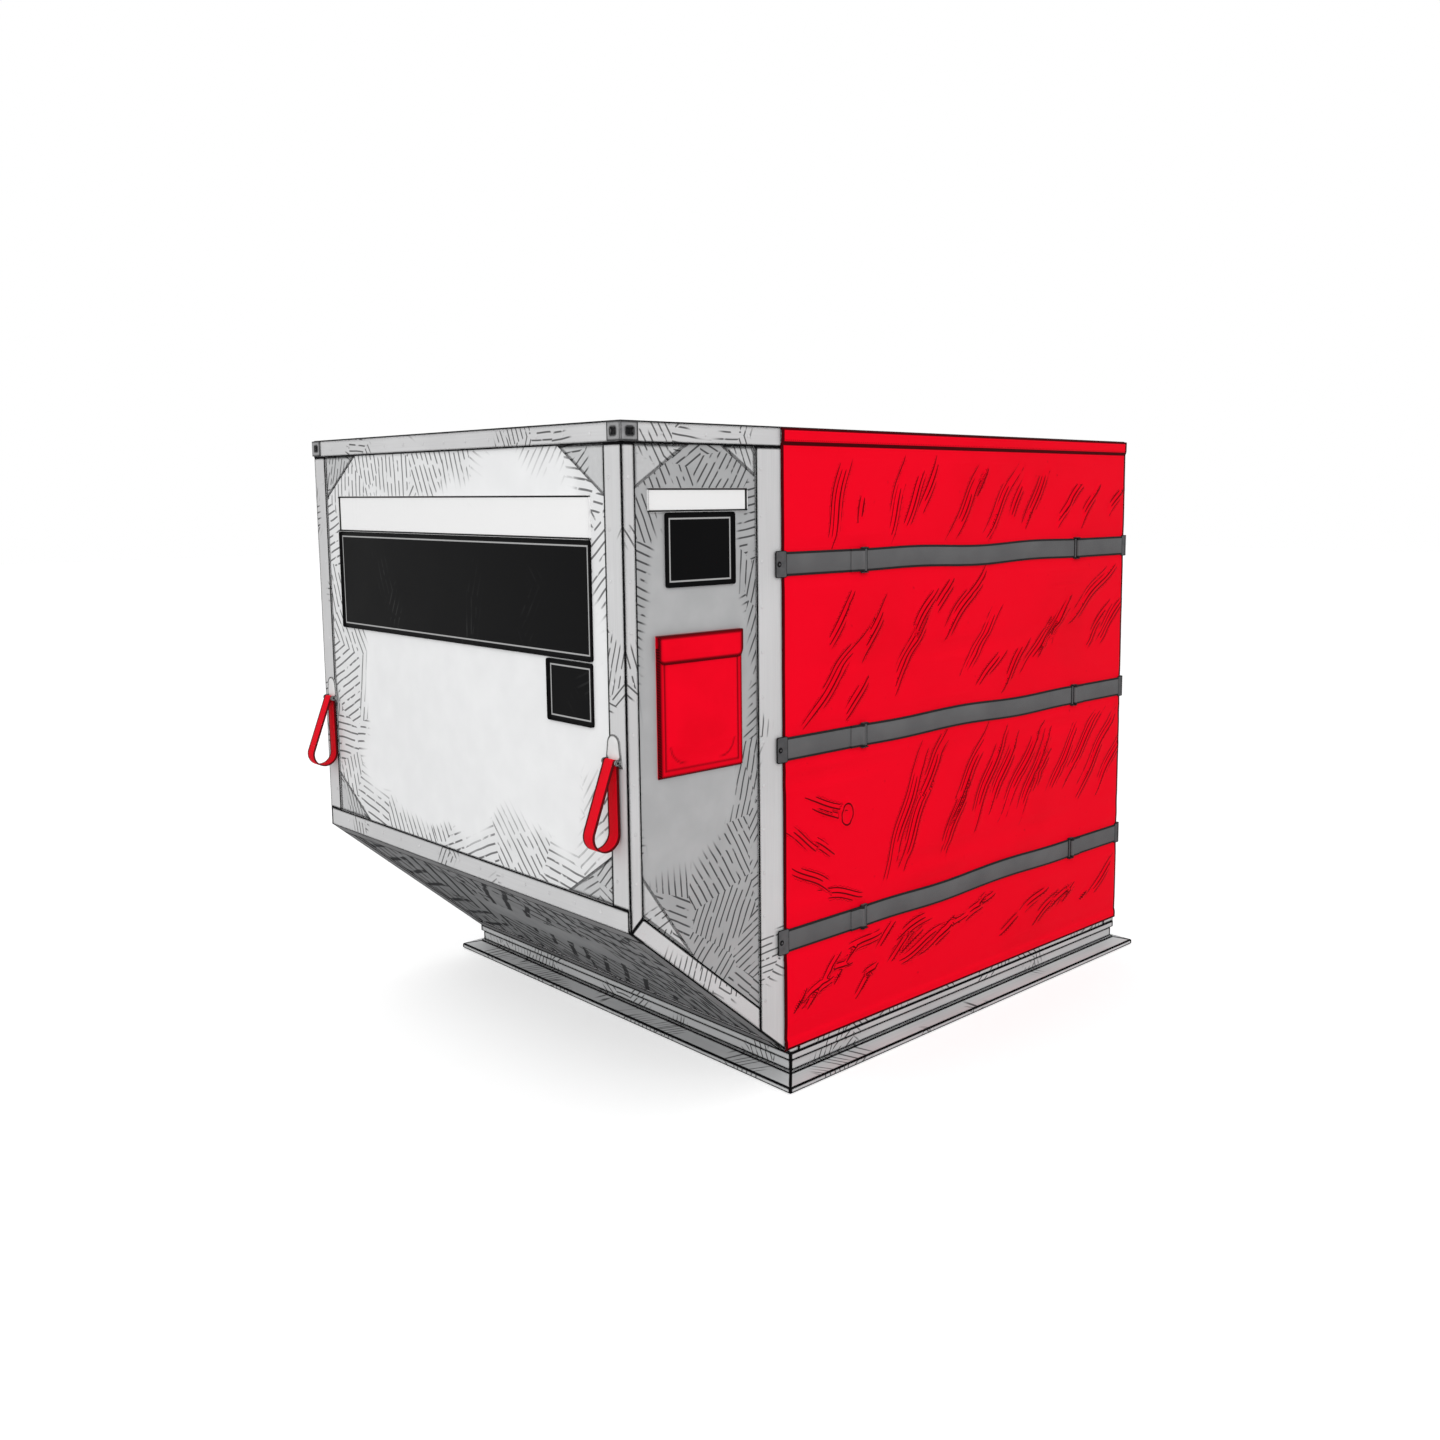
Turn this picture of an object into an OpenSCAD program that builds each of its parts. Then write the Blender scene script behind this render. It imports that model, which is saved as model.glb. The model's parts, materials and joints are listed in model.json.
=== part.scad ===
// Lower-deck air cargo container: a sheet-metal body with a sloped overhang on one side,
// a stepped base rim and a fabric door that folds up in pleats, held by three webbing straps.
// Millimetres. The origin is the centre of the base's bottom face, +Z is up,
// the door faces -Y and the overhang reaches towards -X.

/* [Overall] */
// Width from the overhang's face to the far edge of the base
overall_w = 2007; // [1960:1:2060]
// Width of the base over its rim
base_w = 1562; // [1530:1:1600]
// Depth of the base over its rim
base_d = 1534; // [1490:1:1580]
// Height to the top of the roof rails
overall_h = 1626; // [1600:1:1660]
// Height of the knee, where the overhang's slope starts
knee_z = 504; // [480:1:530]

/* [Base] */
// How far the rim stands out past the body
flange_w = 44; // [38:1:50]
// Height of the rim's ledge, which the body stands on
base_h = 78; // [72:1:84]
// Height of the rim's outer lip
lip_h = 16; // [13:1:19]
// Bevel along the lip's edges
lip_bevel = 3; // [1:0.5:4]
// Rise of the flange from the lip to the body
flange_rise = 9; // [5:1:12]
// Depth of the groove round the rim
groove_d = 6; // [4:0.5:8]
// Height of the step between the flange and the groove
step_h = 3; // [2:0.5:5]
// Height of the band above the groove
band_h = 18; // [14:1:22]
// Width of the ledge
ledge_w = 30; // [26:1:36]
// Wall of the rim's hollow chamber
chamber_wall = 5; // [4:0.5:6]
// Width of the tongue that holds the floor sheet down
tongue_w = 34; // [28:1:42]
// Thickness of the tongue
tongue_t = 5; // [4:0.5:7]
// Thickness of the floor sheet
floor_t = 3; // [2:0.5:5]
// Gap round the edge of the floor sheet
floor_gap = 0.5; // [0.3:0.1:1]

/* [Frame] */
// Thickness of the frame angles
frame_t = 5; // [4:0.5:6]
// Bevel along the frame's outer corners
frame_bevel = 2; // [1:0.5:3]
// Width of a corner post's leg on the side faces
post_side_w = 64; // [56:1:72]
// Width of the overhang posts' leg on the front and back
post_end_w = 36; // [32:1:42]
// Width of the base posts' leg on the front and back
post_base_w = 58; // [52:1:66]
// Height of the roof rails
roof_rail_h = 48; // [42:1:54]
// Width of the roof rails' top leg
roof_rail_w = 45; // [38:1:52]
// Height of the knee rail's upright leg
knee_rail_h = 52; // [46:1:58]
// Width of the rails along the slope
slope_rail_w = 46; // [40:1:52]
// Height of the sill angles
sill_h = 40; // [34:1:48]
// Height of the sill under the door
door_sill_h = 26; // [20:1:32]
// Reach of the door post from the slope's foot towards the overhang
door_post_out = 101; // [90:1:112]
// Reach of the door post from the slope's foot into the doorway
door_post_in = 29; // [24:1:34]
// Depth of the door post's return
door_post_depth = 45; // [38:1:52]

/* [Panels] */
// Thickness of the wall and roof sheets
panel_t = 1.2; // [1:0.1:2]
// Gap between sheets where they meet
panel_gap = 0.5; // [0.3:0.1:1]
// Overlap of the front sheet behind the door post
panel_lap = 60; // [40:1:80]
// Thickness of the gusset plates
gusset_t = 1.5; // [1:0.1:2.5]
// Long leg of the side gussets
gusset_long = 175; // [140:1:210]
// Upright leg of the side gussets
gusset_up = 115; // [90:1:140]
// Long leg of the front and back gussets
gusset_end_long = 150; // [120:1:180]
// Upright leg of the front and back gussets
gusset_end_up = 98; // [80:1:120]
// Legs of the small gusset beside the door post
gusset_small = [104, 70]; // [50:1:140]
// Leg of the slope gussets along the slope
gusset_slope = 205; // [160:1:240]

/* [Corner castings] */
// Width of a corner casting on each face
cap_w = 44; // [36:1:52]
// Height of a corner casting
cap_h = 42; // [34:1:48]
// How far a corner casting stands proud
cap_proud = 4; // [3:0.5:5]
// Width and height of the slots in a corner casting
cap_slot = [20, 16]; // [10:1:28]

/* [Curtain] */
// Thickness of the curtain fabric
curtain_t = 3; // [2.5:0.1:4]
// Gap between the curtain and the frame
curtain_gap = 0.6; // [0.4:0.1:0.9]
// Overlap of the curtain onto the door post, from the slope's foot
curtain_lap = 23; // [18:1:28]
// Height of the header pocket
header_h = 36; // [32:1:42]
// Thickness of the header pocket
header_t = 7; // [6:0.5:9]
// Drop from the roof to the first fold line
header_drop = 430; // [426:1:450]
// Lengths of the folds from the first fold line down; a last one takes the rest
folds = [291, 265, 315]; // [255:1:330]
// Gap at each fold line
fold_gap = 0.3; // [0.2:0.1:0.5]
// Radius of the bead that a fold turns on, on the curtain's face
fold_bead = 0.5; // [0.3:0.05:0.5]
// Height of the curtain's lower edge over the rim's ledge
hem_clear = 14; // [10:1:18]
// Height of the bottom hem
hem_h = 26; // [24:1:32]
// Thickness of the bottom hem
hem_t = 6; // [5.5:0.5:7]
// Height and thickness of the batten in the hem
hem_bar = [20, 2]; // [1:0.5:24]
// Height and thickness of the bar in the header
header_bar = [26, 3]; // [2:0.5:30]
// Clearance round the bars in their pockets
bar_gap = 0.2; // [0.1:0.1:0.4]

/* [Straps] */
// Width of the webbing
strap_w = 58; // [52:1:60]
// Thickness of the webbing
strap_t = 3; // [2.5:0.1:3.5]
// Drops from the roof to the middle of each strap
strap_drops = [323, 771, 1251]; // [300:1:1270]
// Distance of the left buckle from the curtain's edge
buckle_left = 278; // [250:1:300]
// Distance of the right buckle from the curtain's edge
buckle_right = 259; // [230:1:290]
// Radius of the buckle's bar
bar_r = 2.5; // [2:0.1:3]
// Clearance of the webbing round the bar
bar_clear = 0.3; // [0.2:0.05:0.5]
// Clearance of the strap ends over the curtain
tail_gap = 0.3; // [0.2:0.05:0.5]
// Thickness of the buckle's cheeks
cheek_t = 3; // [2:0.5:4]
// Gap beside the webbing in the buckle
cheek_gap = 0.5; // [0.3:0.1:0.8]
// Length of the buckle's plate over the strap
buckle_l = 10; // [8:1:24]
// Thickness of the buckle's plate
buckle_t = 2; // [1.5:0.5:3]
// Reach of the left hook plate past the curtain's edge
hook_out = 22; // [20:1:26]
// Length of the hook plates over the curtain
hook_in = 14; // [10:1:18]
// Thickness of the hook plates
hook_t = 3; // [2.5:0.5:3.5]
// How far the end plates stand past the webbing's edges
hook_over = 3; // [1:0.5:5]
// Radius of the left end plates' corners
hook_r = 5; // [2:0.5:9]
// Radius of the studs
stud_r = 4.5; // [4:0.1:5]
// Clearance of the hook plate round a stud
stud_gap = 0.9; // [0.7:0.1:1.2]
// Distance of the studs from the curtain's edge
stud_x = 11; // [10:1:12]
// How far a stud stands out of its hook plate
stud_out = 1.5; // [1:0.5:2.5]
// Gap between a right hook and the corner post
hook_gap = 0.8; // [0.6:0.1:1.2]
// Depth of a right hook behind the door face
hook_depth = 14; // [10:1:15]
// Radius of the right hook's rolled edge
hook_roll = 7; // [5:0.5:8]

/* [Pull loops] */
// Height of the loops' pins over the knee
loop_pin_up = 384; // [340:1:400]
// Width of a pull tab
tab_w = 60; // [56:1:70]
// Radius of a tab's round top
tab_top_r = 22; // [16:1:26]
// How far a tab's centre line lies behind the middle of its post
tab_in = 14; // [0:1:20]
// Thickness of a pull tab
tab_t = 3; // [2:0.5:4]
// Height of a pull tab above its pin, to the middle of its round top
tab_up = 38; // [30:1:48]
// Height of a pull tab below its pin
tab_down = 14; // [10:1:18]
// Radius of a tab's pin
pin_r = 3; // [2.5:0.1:3.5]
// Clearance of the webbing round the pin
pin_clear = 0.3; // [0.2:0.05:0.4]
// Clearance of the pin in the tab's ears
ear_clear = 0.1; // [0.05:0.05:0.2]
// Thickness of the ears
ear_t = 4; // [3:0.5:5]
// Gap beside the webbing between the ears
ear_gap = 0.5; // [0.3:0.1:0.8]
// Distance from a tab's face to its pin
pin_out = 7.5; // [7.5:0.5:9]
// Width of the loop's webbing
loop_w = 42; // [30:1:46]
// Thickness of the loop's webbing
loop_t = 3; // [2.5:0.1:3.2]
// Outer radius of the loop's bend
loop_r = 36; // [32:1:44]
// Distance from the pin down to the middle of the bend
loop_drop = 160; // [130:1:180]
// Distance from the sleeve to where the webbing parts
loop_sewn = 22; // [16:1:30]

/* [Document pouch] */
// Width of the pouch
pouch_w = 250; // [220:1:270]
// Height of the pouch
pouch_h = 322; // [280:1:340]
// Drop from the roof to the top of the pouch
pouch_drop = 466; // [440:1:500]
// Thickness of the pouch's fabric
pouch_t = 2; // [1.5:0.5:2.5]
// Depth of the pocket
pocket_d = 6; // [5:0.5:9]
// Width of the pouch's edging
edging_w = 10; // [8:1:14]
// Height of the pouch's mouth
mouth_h = 26; // [20:1:34]
// Height of the flap
flap_h = 65; // [50:1:90]
// Radius of the flap's lower corners
flap_r = 18; // [10:1:24]
// Clearance of the flap over the pouch
flap_gap = 0.3; // [0.2:0.1:0.5]

/* [Hidden] */
$fn = 48;

// Planes of the body
x_right = base_w / 2 - flange_w;
x_left = base_w / 2 - overall_w;
x_foot = -base_w / 2 + flange_w;
y_front = -base_d / 2 + flange_w;
y_back = -y_front;
x_mid = (x_left + x_right) / 2;
z_rail = overall_h - roof_rail_h;

// The slope runs from the knee to the rim's ledge
slope_a = atan2(knee_z - base_h, x_foot - x_left);
slope_len = norm([knee_z - base_h, x_foot - x_left]);
x_door = x_foot - door_post_out;
x_jamb = x_foot + door_post_in;
x_post = x_left + post_end_w;
z_inner = slope_z(x_post, slope_rail_w);
x_sill = x_foot + slope_rail_w / sin(slope_a);

// Sheets lie on the inner faces of the frame
z_sheet = overall_h - frame_t - panel_t - panel_gap;
sheet_in = frame_t + panel_t + panel_gap;

// Curtain and straps
x_curtain = x_foot - curtain_lap;
y_face = y_front - curtain_gap - curtain_t;
z_hem = base_h + hem_clear;
sleeve_r = bar_r + bar_clear + strap_t;
y_bar = y_face - tail_gap - sleeve_r;
x_bars = [x_curtain + buckle_left, x_right - buckle_right];
y_tail = y_face - tail_gap - strap_t;
hook_h = strap_w + 2 * hook_over;

// Pouch: centred on the front panel
x_pouch = (x_post + x_door) / 2;
z_pouch = overall_h - pouch_drop;
y_pouch = y_front + frame_t;
y_flap = y_pouch - 2 * pouch_t - pocket_d - flap_gap - pouch_t / 2;

// Pull loops
x_pin = x_left - tab_t - pin_out;
z_pin = knee_z + loop_pin_up;
y_loop = y_front + post_side_w / 2 + tab_in;
loop_sleeve = pin_r + pin_clear + loop_t;
ear_y = loop_w / 2 + ear_gap;

// Overshoot of a cutting shape past the face that it cuts
cut = 1;

// Height of a line that runs parallel to the slope, off millimetres inside it
function slope_z(x, off = 0) = knee_z - (x - x_left) * tan(slope_a) + off / cos(slope_a);

// Point on the slope, along millimetres down from the knee and off millimetres inside
function slope_pt(along, off = 0) = [
    x_left + along * cos(slope_a) + off * sin(slope_a),
    knee_z - along * sin(slope_a) + off * cos(slope_a)];

// Sum of the first n numbers of a list
function total(list, n) = n == 0 ? 0 : list[n - 1] + total(list, n - 1);

// Height of fold line k, counted from 0 at the header
function fold_z(k) = overall_h - header_drop - total(folds, k);

// Face of the curtain that fold line k lies on: the front, then the back, in turn
function fold_y(k) = y_face + (k % 2) * curtain_t;

// Height of the middle of strap i
function strap_z(i) = overall_h - strap_drops[i];

// Points on an arc about c, in n steps
function arc(c, r, from, to, n) = [for (i = [0 : n])
    let(a = from + (to - from) * i / n) c + r * [cos(a), sin(a)]];

// Outline drawn tight round a circle at the origin and a larger one at v
function teardrop(v, r1, r2) = let(a = atan2(v[1], v[0]), b = acos((r1 - r2) / norm(v)))
    concat(arc([0, 0], r1, a + b, a + 360 - b, 16), arc(v, r2, a - b, a + b, 36));

// A plate drawn in the front view, from y to y + t
module front_plate(points, y, t) {
    translate([0, y + t, 0]) rotate([90, 0, 0]) linear_extrude(t) polygon(points);
}

// A plate drawn in the side view, from x to x + t
module side_plate(points, x, t) {
    translate([x, 0, 0]) rotate([90, 0, 90]) linear_extrude(t) polygon(points);
}

// An extrusion along X with its outer edge on y = 0, mitred at both ends
module mitred(length, reach, height) {
    intersection() {
        rotate([90, 0, 90]) linear_extrude(length, center = true) children();
        linear_extrude(height)
            polygon([[-length / 2, 0], [length / 2, 0], [length / 2 - reach, reach],
                [reach - length / 2, reach]]);
    }
}

// A corner angle seen from above, with its outer corner at the origin
module angle_plan(leg_x, leg_y) {
    polygon([[frame_bevel, 0], [leg_x, 0], [leg_x, frame_t], [frame_t, frame_t], [frame_t, leg_y],
        [0, leg_y], [0, frame_bevel]]);
}

// Section of the base rim: lip, flange, groove, band, ledge, floor tongue and chamber
module rim_section() {
    wall = flange_w + ledge_w;
    flange_z = lip_h + flange_rise;
    neck = flange_w + groove_d;
    difference() {
        polygon([[lip_bevel, 0], [0, lip_bevel], [0, lip_h - lip_bevel], [lip_bevel, lip_h],
            [flange_w, flange_z], [flange_w, flange_z + step_h], [neck, flange_z + step_h + groove_d / 2],
            [neck, base_h - band_h - groove_d / 2], [flange_w, base_h - band_h], [flange_w, base_h],
            [wall, base_h], [wall, floor_t + tongue_t], [wall + tongue_w, floor_t + tongue_t],
            [wall + tongue_w, floor_t], [wall, floor_t], [wall, 0]]);
        translate([neck + chamber_wall, chamber_wall])
            square([ledge_w - groove_d - 2 * chamber_wall, base_h - 2 * chamber_wall]);
    }
}

// One side of the base rim; turn 0 is the front
module base_rail(turn, length, reach) {
    color("silver") rotate([0, 0, turn]) translate([0, -reach, 0])
        mitred(length, flange_w + ledge_w + tongue_w, base_h) rim_section();
}

// Floor sheet, flush with the underside of the rim
module base_sheet() {
    edge = 2 * (flange_w + ledge_w + floor_gap);
    color("gainsboro") translate([0, 0, floor_t / 2])
        cube([base_w - edge, base_d - edge, floor_t], center = true);
}

// One roof rail; turn 0 is the front
module roof_rail(turn, length, at) {
    color("lightgray") translate([at[0], at[1], z_rail]) rotate([0, 0, turn])
        mitred(length, roof_rail_w, roof_rail_h) polygon([[0, 0], [0, roof_rail_h - frame_bevel],
            [frame_bevel, roof_rail_h], [roof_rail_w, roof_rail_h], [roof_rail_w, roof_rail_h - frame_t],
            [frame_t, roof_rail_h - frame_t], [frame_t, 0]]);
}

// Post at the overhang's front corner: mitred onto the slope rail, standing on the knee rail
module front_left_post() {
    color("lightgray") difference() {
        translate([x_left, y_front, knee_z]) linear_extrude(z_rail - knee_z)
            angle_plan(post_end_w, post_side_w);
        front_plate([[x_left - cut, knee_z - cut], [x_left, knee_z], [x_post, z_inner],
            [x_post + cut, z_inner], [x_post + cut, knee_z - cut]], y_front - cut, frame_t + cut);
        translate([x_left - cut, y_front + frame_t, knee_z - cut])
            cube([frame_t + 2 * cut, post_side_w, knee_rail_h + cut]);
    }
}

module back_left_post() {
    mirror([0, 1, 0]) front_left_post();
}

// Post between the front panel and the doorway, cut to the slope at its foot
module door_post() {
    color("lightgray") {
        front_plate([[x_door, z_rail], [x_jamb, z_rail], [x_jamb, base_h], [x_foot, base_h],
            [x_door, slope_z(x_door)]], y_front, frame_t);
        translate([x_jamb - frame_t, y_front, base_h]) cube([frame_t, door_post_depth, z_rail - base_h]);
    }
}

// Post at the front corner on the flat side
module front_right_post() {
    color("lightgray") translate([x_right, y_front, base_h]) mirror([1, 0, 0])
        linear_extrude(z_rail - base_h) angle_plan(post_base_w, post_side_w);
}

module back_right_post() {
    mirror([0, 1, 0]) front_right_post();
}

// Angle along the knee, with one leg up the side and one down the slope
module knee_rail() {
    color("lightgray") front_plate([[x_left, knee_z + knee_rail_h], [x_left, knee_z], slope_pt(slope_rail_w),
        slope_pt(slope_rail_w, frame_t), [x_left + frame_t, slope_z(x_left + frame_t, frame_t)],
        [x_left + frame_t, knee_z + knee_rail_h]], y_front + frame_t, y_back - y_front - 2 * frame_t);
}

// Leg of a slope rail that lies under the slope
module slope_leg() {
    front_plate([slope_pt(slope_rail_w), slope_pt(slope_len - slope_rail_w),
        slope_pt(slope_len - slope_rail_w, frame_t), slope_pt(slope_rail_w, frame_t)], y_front, post_side_w);
}

// Rails down both edges of the slope; the front one ends at the door post
module slope_rails() {
    color("lightgray") {
        union() {
            front_plate([[x_left, knee_z], [x_door, slope_z(x_door)], [x_door, slope_z(x_door, slope_rail_w)],
                [x_post, z_inner]], y_front, frame_t);
            difference() {
                slope_leg();
                front_plate([[x_door, base_h - cut], [x_jamb, base_h - cut], [x_jamb, z_rail],
                    [x_door, z_rail]], y_front - cut, frame_t + cut);
            }
        }
        mirror([0, 1, 0]) union() {
            front_plate([[x_left, knee_z], [x_foot, base_h], [x_sill, base_h], [x_post, z_inner]],
                y_front, frame_t);
            slope_leg();
        }
    }
}

// Sill angles on the ledge: slope foot, doorway, back and flat side
module sill_rails() {
    inner = y_back - frame_t;
    half = y_back - post_side_w;
    x_end = x_right - post_base_w;
    color("lightgray") {
        front_plate([slope_pt(slope_len - slope_rail_w), [x_foot, base_h], [x_foot + ledge_w, base_h],
            [x_foot + ledge_w, base_h + frame_t],
            [x_foot + frame_t * (1 - cos(slope_a)) / sin(slope_a), base_h + frame_t],
            slope_pt(slope_len - slope_rail_w, frame_t)],
            y_front + door_post_depth, inner - y_front - door_post_depth);
        translate([x_jamb, y_front, base_h]) {
            cube([x_end - x_jamb, frame_t, door_sill_h]);
            cube([x_end - x_jamb, ledge_w, frame_t]);
        }
        union() {
            front_plate([[x_sill, base_h], [x_end, base_h], [x_end, base_h + sill_h],
                [x_sill - sill_h / tan(slope_a), base_h + sill_h]], inner, frame_t);
            translate([x_sill, y_back - ledge_w, base_h]) cube([x_end - x_sill, ledge_w, frame_t]);
        }
        translate([0, -half, base_h]) {
            translate([x_right - frame_t, 0, 0]) cube([frame_t, 2 * half, sill_h]);
            translate([x_right - ledge_w, 0, 0]) cube([ledge_w, 2 * half, frame_t]);
        }
    }
}

// Sheet over the overhang's upright face
module side_panel() {
    color("white") translate([x_left + frame_t, y_front + frame_t, knee_z + knee_rail_h / 2])
        cube([panel_t, y_back - y_front - 2 * frame_t, z_sheet - knee_z - knee_rail_h / 2]);
}

// Sheet under the overhang's slope
module slope_panel() {
    top = slope_rail_w / 2;
    low = slope_len - slope_rail_w / 2;
    color("darkgray") front_plate([slope_pt(top, frame_t), slope_pt(low, frame_t),
        slope_pt(low, frame_t + panel_t), slope_pt(top, frame_t + panel_t)],
        y_front + frame_t, y_back - y_front - 2 * frame_t);
}

// Sheet between the overhang post and the door post
module front_panel() {
    x0 = x_left + sheet_in;
    x1 = x_door + panel_lap;
    color("darkgray") front_plate([[x0, z_sheet], [x1, z_sheet], [x1, slope_z(x1, sheet_in)],
        [x0, slope_z(x0, sheet_in)]], y_front + frame_t, panel_t);
}

// Sheet over the whole back, stepped round the slope's sill
module back_panel() {
    x0 = x_left + sheet_in;
    x1 = x_right - sheet_in;
    z0 = base_h + frame_t + panel_gap;
    x2 = x_foot + ledge_w + panel_gap;
    z2 = slope_z(x_foot, sheet_in);
    color("darkgray") front_plate([[x0, z_sheet], [x1, z_sheet], [x1, z0], [x2, z0], [x2, z2], [x_foot, z2],
        [x0, slope_z(x0, sheet_in)]], y_back - frame_t - panel_t, panel_t);
}

// Sheet on the flat side
module right_panel() {
    z0 = base_h + frame_t + panel_gap;
    color("gainsboro") translate([x_right - frame_t - panel_t, y_front + frame_t, z0])
        cube([panel_t, y_back - y_front - 2 * frame_t, z_sheet - z0]);
}

// Roof sheet
module roof_panel() {
    color("gainsboro") translate([x_left + frame_t, y_front + frame_t, overall_h - frame_t - panel_t])
        cube([x_right - x_left - 2 * frame_t, y_back - y_front - 2 * frame_t, panel_t]);
}

// Triangle with its square corner at p and legs a and b along the two view axes
function triangle(p, a, b) = [p, p + [a, 0], p + [0, b]];

// Gusset between an overhang post and the slope rail
function slope_gusset() = [[x_post, z_inner], [x_post, z_inner + gusset_end_up],
    [x_post + gusset_slope * cos(slope_a), z_inner - gusset_slope * sin(slope_a)]];

// Corner gussets, in the recess between the frame's legs
module gusset_plates() {
    y_in = y_back - post_side_w;
    x_plate = x_left + frame_t - gusset_t;
    y_plate = y_front + frame_t - gusset_t;
    x_post_r = x_right - post_base_w;
    color("gainsboro") {
        for (s = [-1, 1]) {
            leg = -s * gusset_long;
            side_plate(triangle([s * y_in, z_rail], leg, -gusset_up), x_plate, gusset_t);
            side_plate(triangle([s * y_in, knee_z + knee_rail_h], leg, gusset_up), x_plate, gusset_t);
            side_plate(triangle([s * y_in, z_rail], leg, -gusset_up), x_right - frame_t, gusset_t);
            side_plate(triangle([s * y_in, base_h + sill_h], leg, gusset_up), x_right - frame_t, gusset_t);
        }
        for (m = [0, 1]) mirror([0, m, 0]) {
            front_plate(triangle([x_post, z_rail], gusset_end_long, -gusset_end_up), y_plate, gusset_t);
            front_plate(slope_gusset(), y_plate, gusset_t);
        }
        front_plate(triangle([x_door, z_rail], -gusset_small[0], -gusset_small[1]), y_plate, gusset_t);
        mirror([0, 1, 0]) {
            front_plate(triangle([x_post_r, z_rail], -gusset_end_long, -gusset_end_up), y_plate, gusset_t);
            front_plate(triangle([x_post_r, base_h + sill_h], -gusset_end_long, gusset_end_up),
                y_plate, gusset_t);
        }
    }
}

// A casting round a roof corner, with its outer corner at the origin and a slot in each face
module corner_cap() {
    z_slot = (cap_h - cap_slot[1]) / 2;
    slot_at = (cap_w - cap_slot[0]) / 2;
    depth = cap_proud + 2 * cut;
    difference() {
        linear_extrude(cap_h) polygon([[frame_bevel - cap_proud, -cap_proud], [cap_w, -cap_proud], [cap_w, 0],
            [0, 0], [0, cap_w], [-cap_proud, cap_w], [-cap_proud, frame_bevel - cap_proud]]);
        translate([slot_at, -cap_proud - cut, z_slot]) cube([cap_slot[0], depth, cap_slot[1]]);
        translate([-cap_proud - cut, slot_at, z_slot]) cube([depth, cap_slot[0], cap_slot[1]]);
    }
}

// Castings at three corners; the fourth is a side plate, because the curtain covers its front
module corner_caps() {
    z_cap = overall_h - frame_bevel - cap_h;
    color("dimgray") {
        translate([x_left, y_front, z_cap]) corner_cap();
        translate([x_left, y_back, z_cap]) mirror([0, 1, 0]) corner_cap();
        translate([x_right, y_back, z_cap]) rotate([0, 0, 180]) corner_cap();
        translate([x_right, y_front, z_cap]) difference() {
            cube([cap_proud, cap_w, cap_h]);
            translate([-cut, (cap_w - cap_slot[0]) / 2, (cap_h - cap_slot[1]) / 2])
                cube([cap_proud + 2 * cut, cap_slot[0], cap_slot[1]]);
        }
    }
}

// Flat bar that clamps the curtain's top edge to the roof rail
module header_rail() {
    color("silver") translate([x_curtain, y_front - curtain_gap - header_t / 2 - header_bar[1] / 2,
        overall_h - frame_bevel - header_h / 2 - header_bar[0] / 2])
        cube([x_right - x_curtain, header_bar[1], header_bar[0]]);
}

// Band along the curtain's top edge, sewn round the bar
module curtain_band() {
    z_pocket = overall_h - frame_bevel - header_h;
    slot = [header_bar[1] + 2 * bar_gap, header_bar[0] + 2 * bar_gap];
    width = x_right - x_curtain;
    color("red") translate([x_curtain, y_front - curtain_gap - header_t, z_pocket]) difference() {
        cube([width, header_t, header_h]);
        translate([-cut, header_t / 2 - slot[0] / 2, header_h / 2 - slot[1] / 2])
            cube([width + 2 * cut, slot[0], slot[1]]);
    }
}

// Fixed top of the curtain, from its band down to the first fold line
module curtain_header() {
    z_low = fold_z(0) + fold_bead + fold_gap;
    color("red") translate([x_curtain, y_face, z_low])
        cube([x_right - x_curtain, curtain_t, overall_h - frame_bevel - header_h - z_low]);
}

// Fold k of the curtain, with a fine bead on the fold line that it turns on
module curtain_fold(k) {
    z_top = fold_z(k - 1);
    last = k > len(folds);
    z_low = last ? z_hem : fold_z(k) + fold_bead + fold_gap;
    slot = [hem_bar[1] + 2 * bar_gap, hem_bar[0] + 2 * bar_gap];
    width = x_right - x_curtain;
    color("red") difference() {
        union() {
            translate([x_curtain, fold_y(k - 1), z_top]) rotate([0, 90, 0])
                cylinder(r = fold_bead, h = width);
            translate([x_curtain, y_face, z_low]) cube([width, curtain_t, z_top - z_low]);
            if (last) translate([x_curtain, y_face + curtain_t - hem_t, z_low]) cube([width, hem_t, hem_h]);
        }
        if (last) translate([x_curtain - cut, y_face + curtain_t - hem_t / 2 - slot[0] / 2,
            z_low + hem_h / 2 - slot[1] / 2]) cube([width + 2 * cut, slot[0], slot[1]]);
    }
}

// Batten in the bottom hem
module curtain_bar() {
    color("silver") translate([x_curtain, y_face + curtain_t - hem_t / 2 - hem_bar[1] / 2,
        z_hem + hem_h / 2 - hem_bar[0] / 2]) cube([x_right - x_curtain, hem_bar[1], hem_bar[0]]);
}

// Middle of strap i, sewn to the curtain between its two buckles
module strap(i) {
    x0 = x_bars[0] + sleeve_r + bar_r;
    x1 = x_bars[1] - sleeve_r - bar_r;
    color("dimgray") translate([x0, y_face - strap_t, strap_z(i) - strap_w / 2])
        cube([x1 - x0, strap_t, strap_w]);
}

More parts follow.
